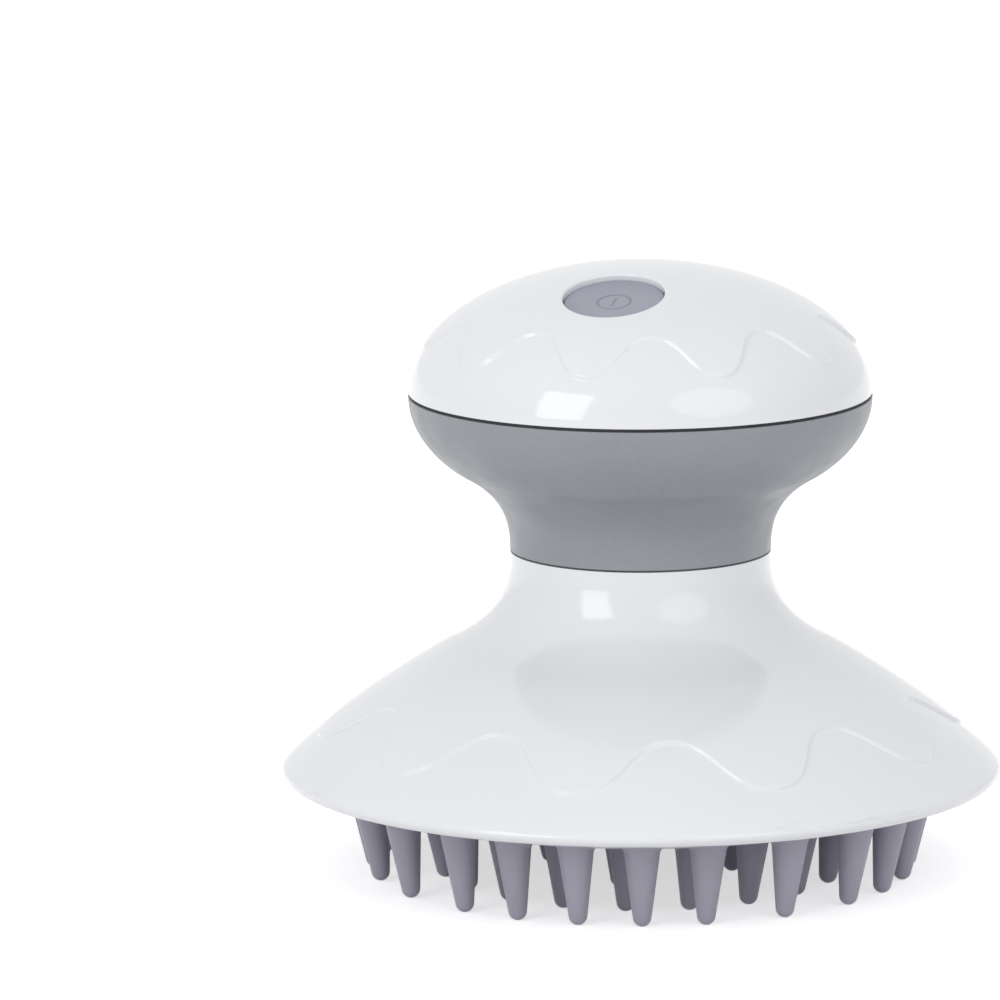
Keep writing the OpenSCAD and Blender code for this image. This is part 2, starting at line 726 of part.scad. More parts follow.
module base_shell() {
    wall_path = [for (p = inset(base_path, base_wall)) if (p[1] > rim_z + rim_round) p];
    inner = [for (p = wall_path) if (p[1] > pocket_z) p];
    ledge_r = min(lookup(pocket_z, [for (p = wall_path) [p[1], p[0]]]), pocket_r - eps);
    color("whitesmoke") rotate([0, 0, base_turn]) difference() {
        union() {
            rotate_extrude() polygon(concat(base_path,
                [[pocket_r, rim_z], [pocket_r, pocket_z], [ledge_r, pocket_z]], flipped(inner)));
            intersection() {
                rotate_extrude() polygon(concat(raised(base_path, base_relief, throat_steps),
                                                flipped(inset(base_path, base_wall / 2))));
                scallops(base_wave_r, base_wave_a, base_waves, rim_z, neck_z);
            }
            intersection() {
                ring(4, pad_screw_r, pad_turn - base_turn) translate([0, 0, tube_top + gap])
                    cylinder(r = pad_post_r, h = reach, $fn = 48);
                bulk(concat([[0, neck_z]], inset(base_path, base_wall / 2)), rim_z);
            }
            translate([0, 0, ledge_top_z - ledge_t])
                tube(neck_r - 1, tray_r + 0.3, ledge_t);
        }
        ring(4, pad_screw_r, pad_turn - base_turn) translate([0, 0, tube_top - past])
            cylinder(r = long_screw_r + screw_gap, h = long_bite + past + 0.5, $fn = 32);
        rotate([0, 0, -base_turn]) {
            ring(3, neck_screw_r, neck_start) translate([0, 0, ledge_top_z - ledge_t - past])
                cylinder(r = through_r, h = ledge_t + 2 * past, $fn = 24);
            strip_slots(ledge_top_z - ledge_t, ledge_t);
        }
    }
}

// ---- Pad and backing plate ----------------------------------------------------

// The ball whose skin lies d above the pad's lower face
module ball(d) {
    translate([0, 0, mid_len + sphere_r]) sphere(r = sphere_r - d, $fn = 240);
}

// The layer between depths d0 and d1 above the pad's lower face, out to radius r
module dish(d0, d1, r) {
    intersection() {
        difference() {
            ball(d0);
            ball(d1);
        }
        cylinder(r = r, h = rim_z + reach);
    }
}

// One bristle: a cone with a round tip at radius r, leaning inwards, rooted in the pad
// deeply enough for the whole of its slanted foot
module bristle(r, tilt) {
    root = (dish_z(r, 0) + 1.5 * pad_t - tip_r) / cos(tilt);
    tip_steps = 5;
    tip_arc = [for (i = [0:tip_steps])
        let (a = -90 + (90 - taper) * i / tip_steps) tip_r * heading(a)];
    translate([r, 0, tip_r]) rotate([0, tilt, 0]) rotate_extrude($fn = 32)
        polygon(concat(tip_arc, [[last(tip_arc)[0] + (root - last(tip_arc)[1]) * tan(taper), root],
                                 [0, root]]));
}

// Angles of the outer bristles in a quarter: one beside the screw, the rest even
even_step = (90 - 2 * screw_step) / (quarter_count - 2);
quarter_angles = concat([0], [for (i = [0:quarter_count - 2]) screw_step + i * even_step]);

module bristle_pad() {
    color("#9698a5") rotate([0, 0, pad_turn]) difference() {
        union() {
            intersection() {
                ball(0);
                cylinder(r = pad_r, h = rim_z + reach);
            }
            for (q = [0:90:270], a = quarter_angles) rotate([0, 0, q + a])
                bristle(outer_ring_r, lean);
            ring(inner_count, 0) bristle(inner_ring_r, lean);
            ring(middle_count, 0) bristle(middle_ring_r, lean);
            bristle(0, 0);
        }
        ball(pad_t);
        ring(4, pad_screw_r) cylinder(r = pad_hole_r, h = rim_z + reach, $fn = 48);
    }
}

seat_r = 21.5;
lug_start = 30;

module backing_plate() {
    rib_h = 3.5;
    color("#d8dadc") difference() {
        union() {
            dish(pad_t + gap, pad_t + back_t, back_r);
            intersection() {
                translate([0, 0, mid_len]) cylinder(r = seat_r, h = seat_top_z - mid_len);
                dish(pad_t + gap, pad_t + back_t + reach, seat_r);
            }
            intersection() {
                union() {
                    rotate([0, 0, pad_turn]) ring(4, pad_screw_r)
                        cylinder(r = tube_r, h = tube_top, $fn = 48);
                    rotate([0, 0, base_turn]) for (i = [0:rib_count - 1])
                        rotate([0, 0, 360 * (i + 0.5) / rib_count])
                            translate([seat_r - 1, -0.8, 0])
                                cube([pad_screw_r - seat_r - 3, 1.6, seat_top_z + rib_h]);
                    tube(back_r - 1, back_r - 2.6, rim_z + 2.6);
                }
                dish(pad_t + gap, pad_t + back_t + reach, back_r);
            }
        }
        rotate([0, 0, pad_turn]) ring(4, pad_screw_r) {
            cylinder(r = pad_hole_r, h = tube_top - tube_wall_t, $fn = 48);
            cylinder(r = long_screw_r + 0.3, h = tube_top + past, $fn = 32);
        }
        ring(3, motor_screw_r, lug_start) translate([0, 0, seat_top_z - lug_bite - 0.3])
            cylinder(r = screw_r + screw_gap, h = lug_bite + past, $fn = 24);
    }
}

module plate_seal() {
    section = 0.85;
    seal_r = back_r + 1.5;
    seal_z = dish_z(seal_r + section, pad_t) + soft_gap + section;
    color("#2d2f32") rotate_extrude()
        translate([seal_r, seal_z]) circle(r = section, $fn = 24);
}

module plate_screws() {
    head = 2.3;
    head_t = 2;
    seat_z = tube_top - tube_wall_t - gap;
    color("silver") rotate([0, 0, pad_turn]) ring(4, pad_screw_r) difference() {
        union() {
            translate([0, 0, seat_z - head_t]) cylinder(r = head, h = head_t, $fn = 40);
            translate([0, 0, seat_z - eps])
                cylinder(r = long_screw_r, h = tube_wall_t + long_bite, $fn = 32);
        }
        for (a = [0, 90]) rotate([0, 0, a])
            translate([-1.6, -0.35, seat_z - head_t - eps]) cube([3.2, 0.7, 1]);
    }
}

// ---- Motor --------------------------------------------------------------------

sleeve_r = motor_r + soft_gap + sleeve_t;
cup_r = sleeve_r + gap + cup_wall;
lug_r = 3;
lug_step = 0.4;      // how far the lugs stay short of the cup's ends
motor_screw_r = cup_r + 1.6;
lug_bite = 2.8;      // depth of a motor screw in the seat
clamp_bore_r = 8;
lead_r = 0.7;
lead_x = 17.3;
slot_w = 5;          // slots for the leads
slot_h = 5;
slot_z = motor_z + 0.4;
tab_z = motor_z + 1.5;
tab_t = 0.4;
tab_out = 2.1;

module motor_cup() {
    color("#b9bcc0") difference() {
        union() {
            translate([0, 0, cup_z]) cylinder(r = cup_r, h = motor_top_z - cup_z);
            ring(3, motor_screw_r, lug_start) translate([0, 0, cup_z + lug_step])
                cylinder(r = lug_r, h = motor_top_z - cup_z - 2 * lug_step, $fn = 40);
        }
        translate([0, 0, cup_z + cup_floor_t])
            cylinder(r = sleeve_r + gap, h = motor_h + past);
        ring(3, motor_screw_r, lug_start) translate([0, 0, cup_z - past])
            cylinder(r = through_r, h = motor_top_z - cup_z + 2 * past, $fn = 24);
        for (a = [0, 180]) rotate([0, 0, a])
            translate([motor_r, -slot_w / 2, slot_z]) cube([motor_r, slot_w, slot_h]);
    }
}

module motor_sleeve() {
    color("#26282b") difference() {
        translate([0, 0, motor_z]) tube(sleeve_r, motor_r + soft_gap, motor_h - 0.3);
        for (a = [0, 180]) rotate([0, 0, a])
            translate([motor_r - past, -slot_w / 2, slot_z]) cube([motor_r, slot_w, slot_h]);
    }
}

module motor_can() {
    boss_r = 3.1;
    bush_gap = 0.04;
    color("silver") difference() {
        union() {
            translate([0, 0, motor_z]) cylinder(r = motor_r, h = motor_h);
            translate([0, 0, motor_top_z - eps]) cylinder(r = boss_r, h = boss_h, $fn = 48);
            for (a = [0, 180]) rotate([0, 0, a])
                translate([motor_r - 0.5, -1, tab_z]) cube([tab_out + 0.5, 2, tab_t]);
        }
        translate([0, 0, shaft_z - 0.2])
            cylinder(r = shaft_r + bush_gap, h = motor_h + boss_h, $fn = 48);
    }
}

module motor_shaft() {
    color("gray") translate([0, 0, shaft_z])
        cylinder(r = shaft_r, h = shaft_top_z - shaft_z, $fn = 48);
}

// A half disc on the shaft, whose weight off the axis makes the vibration
module eccentric_weight() {
    hub_r = 3;
    color("#8a7f5a") translate([0, 0, weight_z]) difference() {
        union() {
            cylinder(r = hub_r, h = weight_h, $fn = 48);
            intersection() {
                cylinder(r = weight_r, h = weight_h);
                translate([-weight_r, 0, 0]) cube([2 * weight_r, weight_r, weight_h]);
            }
        }
        translate([0, 0, -past]) cylinder(r = shaft_r, h = weight_h + 2 * past, $fn = 48);
    }
}

module motor_clamp() {
    color("lightsteelblue") difference() {
        union() {
            translate([0, 0, clamp_z]) cylinder(r = cup_r, h = clamp_t);
            ring(3, motor_screw_r, lug_start) translate([0, 0, clamp_z])
                cylinder(r = lug_r, h = clamp_t, $fn = 40);
        }
        translate([0, 0, clamp_z - past]) cylinder(r = clamp_bore_r, h = clamp_t + 2 * past);
        ring(3, motor_screw_r, lug_start) translate([0, 0, clamp_z - past])
            cylinder(r = through_r, h = clamp_t + 2 * past, $fn = 24);
    }
}

module motor_screws() {
    color("silver") ring(3, motor_screw_r, lug_start)
        translate([0, 0, clamp_z + clamp_t + gap]) mirror([0, 0, 1])
            screw(clamp_z + clamp_t - seat_top_z + lug_bite);
}

// Leads from the tray's underside, down past the cup and in to the motor's tabs
module motor_leads() {
    bend = 2.2;
    axis_z = tab_z + tab_t / 2;
    start_x = motor_r + tab_out + gap;
    color("firebrick") for (a = [0, 180]) rotate([0, 0, a]) {
        translate([lead_x, 0, axis_z + bend])
            cylinder(r = lead_r, h = tray_foot_z - gap - axis_z - bend, $fn = 16);
        translate([lead_x - bend, 0, axis_z + bend]) rotate([90, 0, 0]) rotate([0, 0, -90])
            rotate_extrude(angle = 90) translate([bend, 0]) circle(r = lead_r, $fn = 16);
        translate([start_x, 0, axis_z]) rotate([0, 90, 0])
            cylinder(r = lead_r, h = lead_x - bend - start_x, $fn = 16);
    }
}

top_cap();
power_button();
switch_plunger();
button_gasket();
control_board();
tact_switch();
board_screws();
contact_carrier();
carrier_screws();
top_contacts();
contact_pins();
board_wires();
cap_seal();
grip_shell();
neck_gasket();
neck_screws();
battery_tray();
tray_screws();
battery_cells();
cell_contacts();
cell_springs();
power_strips();
base_shell();
motor_can();
motor_shaft();
eccentric_weight();
motor_sleeve();
motor_cup();
motor_clamp();
motor_screws();
motor_leads();
backing_plate();
plate_seal();
plate_screws();
bristle_pad();
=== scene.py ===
import json
import math
from bisect import bisect_right

import bpy
from mathutils import Matrix, Vector


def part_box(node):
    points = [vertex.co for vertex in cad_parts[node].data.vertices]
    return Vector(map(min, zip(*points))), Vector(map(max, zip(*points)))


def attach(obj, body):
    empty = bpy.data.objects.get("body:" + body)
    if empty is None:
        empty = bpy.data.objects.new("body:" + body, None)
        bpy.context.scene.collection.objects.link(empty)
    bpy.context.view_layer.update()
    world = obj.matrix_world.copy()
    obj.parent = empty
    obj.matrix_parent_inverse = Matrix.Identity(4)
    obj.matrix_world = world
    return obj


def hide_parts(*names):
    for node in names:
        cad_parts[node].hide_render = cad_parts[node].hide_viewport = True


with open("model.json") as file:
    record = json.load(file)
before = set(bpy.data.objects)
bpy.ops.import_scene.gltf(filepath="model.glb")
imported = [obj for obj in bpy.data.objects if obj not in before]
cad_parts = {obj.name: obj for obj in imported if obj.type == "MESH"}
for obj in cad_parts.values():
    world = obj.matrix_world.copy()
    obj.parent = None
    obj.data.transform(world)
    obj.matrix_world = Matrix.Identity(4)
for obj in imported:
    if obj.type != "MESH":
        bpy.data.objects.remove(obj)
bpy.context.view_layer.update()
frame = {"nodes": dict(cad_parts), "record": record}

MM = 0.001
TAU = 2 * math.pi

# ---- Sizes in millimetres and angles in radians, as in the solids ------------------------

# Cap: a dome set in a little from the grip, with a raised area that ends in ten lobes
CAP_SET, CAP_RISE, CAP_POWER = 0.1, 21.25, 2.0
CAP_RELIEF, CAP_WAVE_IN, CAP_WAVE_A, CAP_WAVES = 0.45, 5.6, 3.0, 10
SEAL_T = 0.45

# Button: its place on the dome, its recess, its dished face, its flange and its stem
BUTTON_Y, BUTTON_R, BUTTON_GAP = 17.5, 8.3, 0.1
BUTTON_RECESS, BUTTON_DISH, BUTTON_H = 1.15, 0.35, 2.7
FLANGE_W, FLANGE_T, STEM_R, STEM_H = 1.7, 0.8, 2.0, 0.4

# Grip: a bowl that narrows into the neck, through one point on its flank. A pull is the
# length of a curve's handle at one of its ends.
GRIP_R, GRIP_H, NECK_R = 38.7, 25.9, 21.8
BOWL_OUT, BOWL_UP, BOWL_SLOPE = 8.4, 13.15, math.radians(28.8)
BOWL_TOP_PULL, BOWL_IN_PULL, BOWL_OUT_PULL, BOWL_FOOT_PULL = 7, 2.5, 7.5, 5.4
GASKET_T = 0.25
SEAT_GAP = 0.05          # on either side of the seal and of the gasket

# Base: a throat, a nearly straight flank and a rounded rim
BASE_R, BASE_H, RIM_ROUND = 60.4, 38.0, 1.5
BASE_RELIEF, BASE_WAVE_IN, BASE_WAVE_A, BASE_WAVES = 0.4, 10.9, 4.6, 10
BASE_TURN = math.radians(2.5)
FLANK_IN, FLANK_UP, FLANK_SLOPE = 28.4, 22, math.radians(27.6)
THROAT_PULL, FLANK_IN_PULL, FLANK_OUT_PULL, RIM_PULL = 3.2, 11.905, 12.1, 1.8

# Pad: a layer that is part of a sphere, hangs in the base and carries the bristles
RIM_W, PAD_GAP = 2.15, 0.25
PAD_T, PAD_SAG, MIDDLE_LENGTH = 2.0, 8.3, 8.0
TIP_R, TAPER, LEAN = 1.55, math.radians(7.1), math.radians(7.0)
OUTER_RING_IN, INNER_RING_IN, MIDDLE_RING_R = 13.2, 24.3, 15.7
INNER_COUNT, MIDDLE_COUNT, QUARTER_COUNT = 20, 8, 6
SCREW_STEP = math.radians(18)      # wider step of the outer ring beside each screw
PAD_SCREW_IN, PAD_HOLE_R = 18.4, 2.5
PAD_TURN = math.radians(46.2)

CAP_R = GRIP_R - CAP_SET
BORE_R = BUTTON_R + BUTTON_GAP
PAD_R = BASE_R - RIM_W - PAD_GAP

RIM_Z = MIDDLE_LENGTH + PAD_SAG
NECK_Z = RIM_Z + BASE_H
GRIP_Z = NECK_Z + GASKET_T + 2 * SEAT_GAP
SEAM_Z = GRIP_Z + GRIP_H
CAP_Z = SEAM_Z + SEAL_T + 2 * SEAT_GAP


# ---- Profiles: lists of (radius, height) -------------------------------------------------

def bezier(a, b, c, d, steps):
    """The cubic curve from a to d, with the ends of its handles at b and c."""
    out = []
    for i in range(steps + 1):
        t = i / steps
        u = 1 - t
        out.append(tuple(u * u * u * a[k] + 3 * u * u * t * b[k] + 3 * u * t * t * c[k]
                         + t * t * t * d[k] for k in (0, 1)))
    return out


def ahead(p, angle, length):
    return (p[0] + length * math.cos(angle), p[1] + length * math.sin(angle))


def dome_z(r):
    return CAP_Z + CAP_RISE * max(1 - (r / CAP_R) ** CAP_POWER, 0) ** (1 / CAP_POWER)


def dome_path(steps):
    """The plain dome under the raised area, from the axis down to the seam."""
    out = []
    for i in range(steps + 1):
        t = math.pi / 2 * (1 - i / steps)
        out.append((CAP_R * max(math.cos(t), 0) ** (2 / CAP_POWER),
                    CAP_Z + CAP_RISE * max(math.sin(t), 0) ** (2 / CAP_POWER)))
    return out


def grip_path(steps):
    """The grip from its seam with the cap down to the neck."""
    mid = (NECK_R + BOWL_OUT, GRIP_Z + BOWL_UP)
    upper = bezier((GRIP_R, SEAM_Z), (GRIP_R, SEAM_Z - BOWL_TOP_PULL),
                   ahead(mid, BOWL_SLOPE, BOWL_IN_PULL), mid, steps)
    lower = bezier(mid, ahead(mid, BOWL_SLOPE, -BOWL_OUT_PULL),
                   (NECK_R, GRIP_Z + BOWL_FOOT_PULL), (NECK_R, GRIP_Z), steps)
    return upper + lower[1:]


def base_path(steps, rim_steps=10):
    """The plain flank under the raised area, from the neck to the rim's foot."""
    mid = (BASE_R - FLANK_IN, RIM_Z + FLANK_UP)
    rim_top = RIM_Z + RIM_ROUND
    throat = bezier((NECK_R, NECK_Z), (NECK_R, NECK_Z - THROAT_PULL),
                    ahead(mid, -FLANK_SLOPE, -FLANK_IN_PULL), mid, steps)
    flank = bezier(mid, ahead(mid, -FLANK_SLOPE, FLANK_OUT_PULL),
                   (BASE_R, rim_top + RIM_PULL), (BASE_R, rim_top), steps)
    rim = [ahead((BASE_R - RIM_ROUND, rim_top), -math.pi / 2 * i / rim_steps, RIM_ROUND)
           for i in range(1, rim_steps + 1)]
    return throat + flank[1:] + rim


def pad_z(r):
    """Height of the pad's lower side at a radius."""
    sphere = (PAD_R * PAD_R + PAD_SAG * PAD_SAG) / (2 * PAD_SAG)
    return MIDDLE_LENGTH + sphere - math.sqrt(sphere * sphere - r * r)


def smooth(t):
    """0 up to t = 0, 1 from t = 1, with a soft S between them."""
    t = min(max(t, 0.0), 1.0)
    return t * t * (3 - 2 * t)


def evenly(start, end, steps):
    """Evenly spaced numbers from start on, without the end."""
    return [start + (end - start) * i / steps for i in range(steps)]


class Path:
    """A profile that can be asked for a point at a length along it, or at a distance
    out from there along its normal."""

    def __init__(self, points):
        self.points = points
        self.lengths = [0.0]
        for a, b in zip(points, points[1:]):
            self.lengths.append(self.lengths[-1] + math.dist(a, b))
        self.length = self.lengths[-1]
        self.normals = []
        for i in range(len(points)):
            a, b = points[max(i - 1, 0)], points[min(i + 1, len(points) - 1)]
            d = math.dist(a, b)
            self.normals.append(((a[1] - b[1]) / d, (b[0] - a[0]) / d))

    def at(self, s, out=0.0):
        i = min(max(bisect_right(self.lengths, s) - 1, 0), len(self.points) - 2)
        t = (s - self.lengths[i]) / (self.lengths[i + 1] - self.lengths[i])
        t = min(max(t, 0), 1)
        r, z = (self.points[i][k] * (1 - t) + self.points[i + 1][k] * t for k in (0, 1))
        nr, nz = (self.normals[i][k] * (1 - t) + self.normals[i + 1][k] * t for k in (0, 1))
        size = math.hypot(nr, nz)
        return (r + out * nr / size, z + out * nz / size)

    def s_at_radius(self, r):
        """The length at which the profile, on its way outwards, reaches a radius."""
        for i in range(len(self.points) - 1):
            a, b = self.points[i][0], self.points[i + 1][0]
            if a <= r <= b and b > a:
                return self.lengths[i] + (self.lengths[i + 1] - self.lengths[i]) * (r - a) / (b - a)
        return self.length


# ---- Mesh helpers ------------------------------------------------------------------------

def polar(radius, angle, height):
    return (radius * math.cos(angle), radius * math.sin(angle), height)


def round_angles(sides):
    return [TAU * j / sides for j in range(sides)]


def in_mm(co):
    return tuple(c / MM for c in co)


def mesh_object(name, verts, faces, unit=MM):
    mesh = bpy.data.meshes.new(name)
    mesh.from_pydata([tuple(c * unit for c in v) for v in verts], [], faces)
    mesh.validate()
    mesh.update()
    mesh.polygons.foreach_set("use_smooth", [True] * len(mesh.polygons))
    obj = bpy.data.objects.new(name, mesh)
    bpy.context.scene.collection.objects.link(obj)
    return obj


def skin(rows, flip=False):
    """The vertices and faces of a surface through rows of points that go round an axis."""
    sides = len(rows[0])
    verts = [tuple(p) for row in rows for p in row]
    faces = []
    for i in range(len(rows) - 1):
        for j in range(sides):
            k = (j + 1) % sides
            face = [i * sides + j, i * sides + k, (i + 1) * sides + k, (i + 1) * sides + j]
            faces.append(face[::-1] if flip else face)
    return verts, faces


def turned_rows(profile, sides):
    """A profile turned about the axis: a row of points for each of its points."""
    return [[polar(r, t, z) for t in round_angles(sides)] for r, z in profile]


def islands(mesh):
    """The connected sets of faces of a mesh: each is one face of the CAD solid."""
    parent = list(range(len(mesh.vertices)))

    def root(i):
        while parent[i] != i:
            parent[i] = parent[parent[i]]
            i = parent[i]
        return i
    for poly in mesh.polygons:
        first = root(poly.vertices[0])
        for v in poly.vertices[1:]:
            parent[root(v)] = first
    out = {}
    for poly in mesh.polygons:
        out.setdefault(root(poly.vertices[0]), []).append(poly)
    return out.values()


def kept_faces(node, is_outer):
    """A CAD node's faces in millimetres, but for those whose every corner is_outer takes."""
    mesh = frame["nodes"][node].data
    verts, faces, index = [], [], {}
    for island in islands(mesh):
        corners = {v for poly in island for v in poly.vertices}
        if all(is_outer(*in_mm(mesh.vertices[v].co)) for v in corners):
            continue
        for poly in island:
            for v in poly.vertices:
                if v not in index:
                    index[v] = len(verts)
                    verts.append(in_mm(mesh.vertices[v].co))
            faces.append([index[v] for v in poly.vertices])
    return verts, faces


def joined(name, *parts):
    """One object from several lists of vertices and faces."""
    verts, faces = [], []
    for part_verts, part_faces in parts:
        shift = len(verts)
        verts += part_verts
        faces += [[i + shift for i in face] for face in part_faces]
    return mesh_object(name, verts, faces)


def near_profile(profile, under, over):
    """A test of whether a point lies on a profile turned about the axis, or close to it."""
    def test(x, y, z):
        r = math.hypot(x, y)
        nearest, side = math.inf, 0
        for a, b in zip(profile, profile[1:]):
            dr, dz = b[0] - a[0], b[1] - a[1]
            t = ((r - a[0]) * dr + (z - a[1]) * dz) / (dr * dr + dz * dz)
            t = min(max(t, 0), 1)
            off_r, off_z = r - a[0] - t * dr, z - a[1] - t * dz
            distance = math.hypot(off_r, off_z)
            if distance < nearest:
                nearest, side = distance, off_z * dr - off_r * dz
        return -under <= (nearest if side > 0 else -nearest) <= over
    return test


# ---- Materials: noise scales are per metre, depths in millimetres ------------------------

SRGB_KNEE = 0.04045
NOISE_LOW, NOISE_HIGH = 0.3, 0.7      # nearly all of a noise lies between them


def lin(*rgb):
    """sRGB 0-255 to linear."""
    return tuple(c / 255 / 12.92 if c / 255 <= SRGB_KNEE else ((c / 255 + 0.055) / 1.055) ** 2.4
                 for c in rgb)


def shade(color, factor):
    return tuple(min(c * factor, 1) for c in color)


class Look:
    """A material being built: one Principled BSDF and helpers that add its detail."""

    def __init__(self, name, **sockets):
        self.mat = bpy.data.materials.new(name)
        self.mat.use_nodes = True
        self.nodes = self.mat.node_tree.nodes
        self.links = self.mat.node_tree.links
        self.bsdf = self.nodes["Principled BSDF"]
        for key, value in sockets.items():
            self.bsdf.inputs[key.replace("_", " ")].default_value = value
        self.coords = self.nodes.new("ShaderNodeTexCoord").outputs["Object"]
        self.normal = None

    def node(self, kind, **settings):
        out = self.nodes.new(kind)
        for key, value in settings.items():
            setattr(out, key, value)
        return out

    def feed(self, socket, value):
        """Links another socket to this one, or sets it to a colour or a number."""
        if isinstance(value, bpy.types.NodeSocket):
            self.links.new(value, socket)
        elif isinstance(value, tuple):
            socket.default_value = (*value, 1)
        else:
            socket.default_value = value

    def stretched(self, scale):
        """The object's coordinates with a scale for each axis."""
        n = self.node("ShaderNodeMapping")
        n.inputs["Scale"].default_value = scale
        self.feed(n.inputs["Vector"], self.coords)
        return n.outputs[0]

    def height(self):
        """The z of the object's coordinates, in metres."""
        n = self.node("ShaderNodeSeparateXYZ")
        self.feed(n.inputs[0], self.coords)
        return n.outputs["Z"]

    def noise(self, scale, detail, rough=0.5, coords=None):
        n = self.node("ShaderNodeTexNoise")
        for key, value in (("Scale", scale), ("Detail", detail), ("Roughness", rough),
                           ("Vector", self.coords if coords is None else coords)):
            self.feed(n.inputs[key], value)
        return n.outputs["Fac"]

    def ramp(self, value, low=NOISE_LOW, high=NOISE_HIGH, to_min=0.0, to_max=1.0):
        """A soft rise from to_min to to_max while value goes from low to high."""
        n = self.node("ShaderNodeMapRange", interpolation_type="SMOOTHSTEP")
        for key, v in (("Value", value), ("From Min", low), ("From Max", high),
                       ("To Min", to_min), ("To Max", to_max)):
            self.feed(n.inputs[key], v)
        return n.outputs["Result"]

    def math(self, operation, a, b):
        n = self.node("ShaderNodeMath", operation=operation)
        self.feed(n.inputs[0], a)
        self.feed(n.inputs[1], b)
        return n.outputs[0]

    def mix(self, share, a, b):
        """The colour a, and as much of the colour b as share says."""
        n = self.node("ShaderNodeMix", data_type="RGBA")
        for index, value in ((0, share), (6, a), (7, b)):      # 6 and 7 take colours
            self.feed(n.inputs[index], value)
        return n.outputs[2]

    def drift(self, color, scale, detail, dark, light):
        """A colour in slow patches between a darker and a lighter shade of it."""
        patches = self.ramp(self.noise(scale, detail))
        return self.mix(patches, shade(color, dark), shade(color, light))

    def color(self, value):
        self.feed(self.bsdf.inputs["Base Color"], value)

    def gloss(self, scale, detail, low, high):
        """A roughness in patches between low and high."""
        patches = self.ramp(self.noise(scale, detail), to_min=low, to_max=high)
        self.feed(self.bsdf.inputs["Roughness"], patches)

    def bump(self, relief, depth, strength):
        n = self.node("ShaderNodeBump")
        for key, value in (("Strength", strength), ("Distance", depth * MM), ("Height", relief)):
            self.feed(n.inputs[key], value)
        if self.normal is not None:
            self.feed(n.inputs["Normal"], self.normal)
        self.normal = n.outputs["Normal"]
        self.feed(self.bsdf.inputs["Normal"], self.normal)


def plastic(name, rgb, rough, grain, grain_depth, vary, spread=0.05):
    """Moulded plastic: a faint flow of colour, an uneven gloss and a fine grain."""
    look = Look(name)
    look.color(look.drift(lin(*rgb), 38, 4, 1 - vary, 1 + vary))
    look.gloss(160, 5, rough - spread, rough + spread)
    look.bump(look.noise(grain, 2), grain_depth, 0.6)
    return look.mat


def metal(name, rgb, rough, stretch=(1, 1, 14)):
    """Metal with fine lines along one direction and a few dull patches."""
    look = Look(name, Metallic=1.0)
    look.coords = look.stretched(stretch)
    lines = look.noise(900, 4, 0.6)
    look.color(look.mix(look.ramp(lines), shade(lin(*rgb), 0.92), shade(lin(*rgb), 1.08)))
    look.gloss(240, 3, rough - 0.07, rough + 0.09)
    look.bump(lines, 0.008, 0.5)
    return look.mat


RUB_BAND = (0.5, 1.5, 2.1, 3.3)       # over the rim's foot it starts, is full, fades, ends


def shell_white(name, rough, coat_rough):
    """Glossy white plastic, with a few dull handling marks just above the rim."""
    look = Look(name, IOR=1.5, Coat_Weight=0.25, Coat_Roughness=coat_rough)
    white = look.drift(lin(229, 230, 233), 22, 4, 0.985, 1.012)
    z = look.height()
    start, full, fading, end = ((RIM_Z + up) * MM for up in RUB_BAND)
    band = look.math("MULTIPLY", look.ramp(z, start, full), look.ramp(z, end, fading))
    streaks = look.ramp(look.noise(75, 5, 0.65, look.stretched((1, 1, 9))), 0.56, 0.7)
    rubbed = look.math("MULTIPLY", look.math("MULTIPLY", band, streaks), 0.3)
    look.color(look.mix(rubbed, white, lin(186, 184, 176)))
    look.gloss(120, 5, rough - 0.02, rough + 0.03)
    look.bump(look.noise(55, 2), 0.02, 0.35)
    look.bump(look.noise(2600, 2), 0.003, 0.5)
    return look.mat


def grip_grey():
    """Satin grey paint with a fine lighter fleck."""
    look = Look("grip_grey_satin", IOR=1.46, Coat_Weight=0.12, Coat_Roughness=0.35)
    grey = lin(141, 144, 149)
    fleck = look.ramp(look.noise(1500, 2), 0.35, 0.65, 0.0, 0.35)
    look.color(look.mix(fleck, look.drift(grey, 30, 4, 0.95, 1.04), shade(grey, 1.1)))
    look.gloss(210, 4, 0.36, 0.48)
    look.bump(look.noise(2300, 3), 0.022, 0.7)
    return look.mat


def soft_pad():
    """Soft lilac grey elastomer with sparse pale specks and a little light under its skin."""
    look = Look("soft_pad_elastomer", IOR=1.43, Sheen_Weight=0.12, Sheen_Roughness=0.4,
                Subsurface_Weight=0.12, Subsurface_Scale=1.6 * MM)
    look.bsdf.inputs["Subsurface Radius"].default_value = (1.0, 0.9, 0.95)
    lilac = lin(165, 163, 177)
    specks = look.math("MULTIPLY", look.ramp(look.noise(700, 2), 0.74, 0.8), 0.4)
    look.color(look.mix(specks, look.drift(lilac, 34, 4, 0.93, 1.05), shade(lilac, 1.5)))
    look.gloss(260, 4, 0.4, 0.52)
    look.bump(look.noise(1900, 3), 0.02, 0.6)
    return look.mat


def button_face():
    look = Look("button_grey_satin", IOR=1.46, Coat_Weight=0.1, Coat_Roughness=0.3)
    look.color(look.drift(lin(149, 151, 165), 80, 4, 0.96, 1.04))
    look.gloss(300, 4, 0.34, 0.44)
    look.bump(look.noise(2600, 2), 0.015, 0.6)
    return look.mat


def button_mark():
    look = Look("button_mark_grey", IOR=1.46)
    look.color(look.drift(lin(141, 143, 157), 500, 3, 0.92, 1.06))
    look.gloss(400, 4, 0.5, 0.6)
    look.bump(look.noise(2600, 2), 0.015, 0.6)
    return look.mat


CELL_BAND, CELL_BARE, CELL_EDGE = 14.5, 1.2, 0.1      # upper tone, bare ends, their soft edge


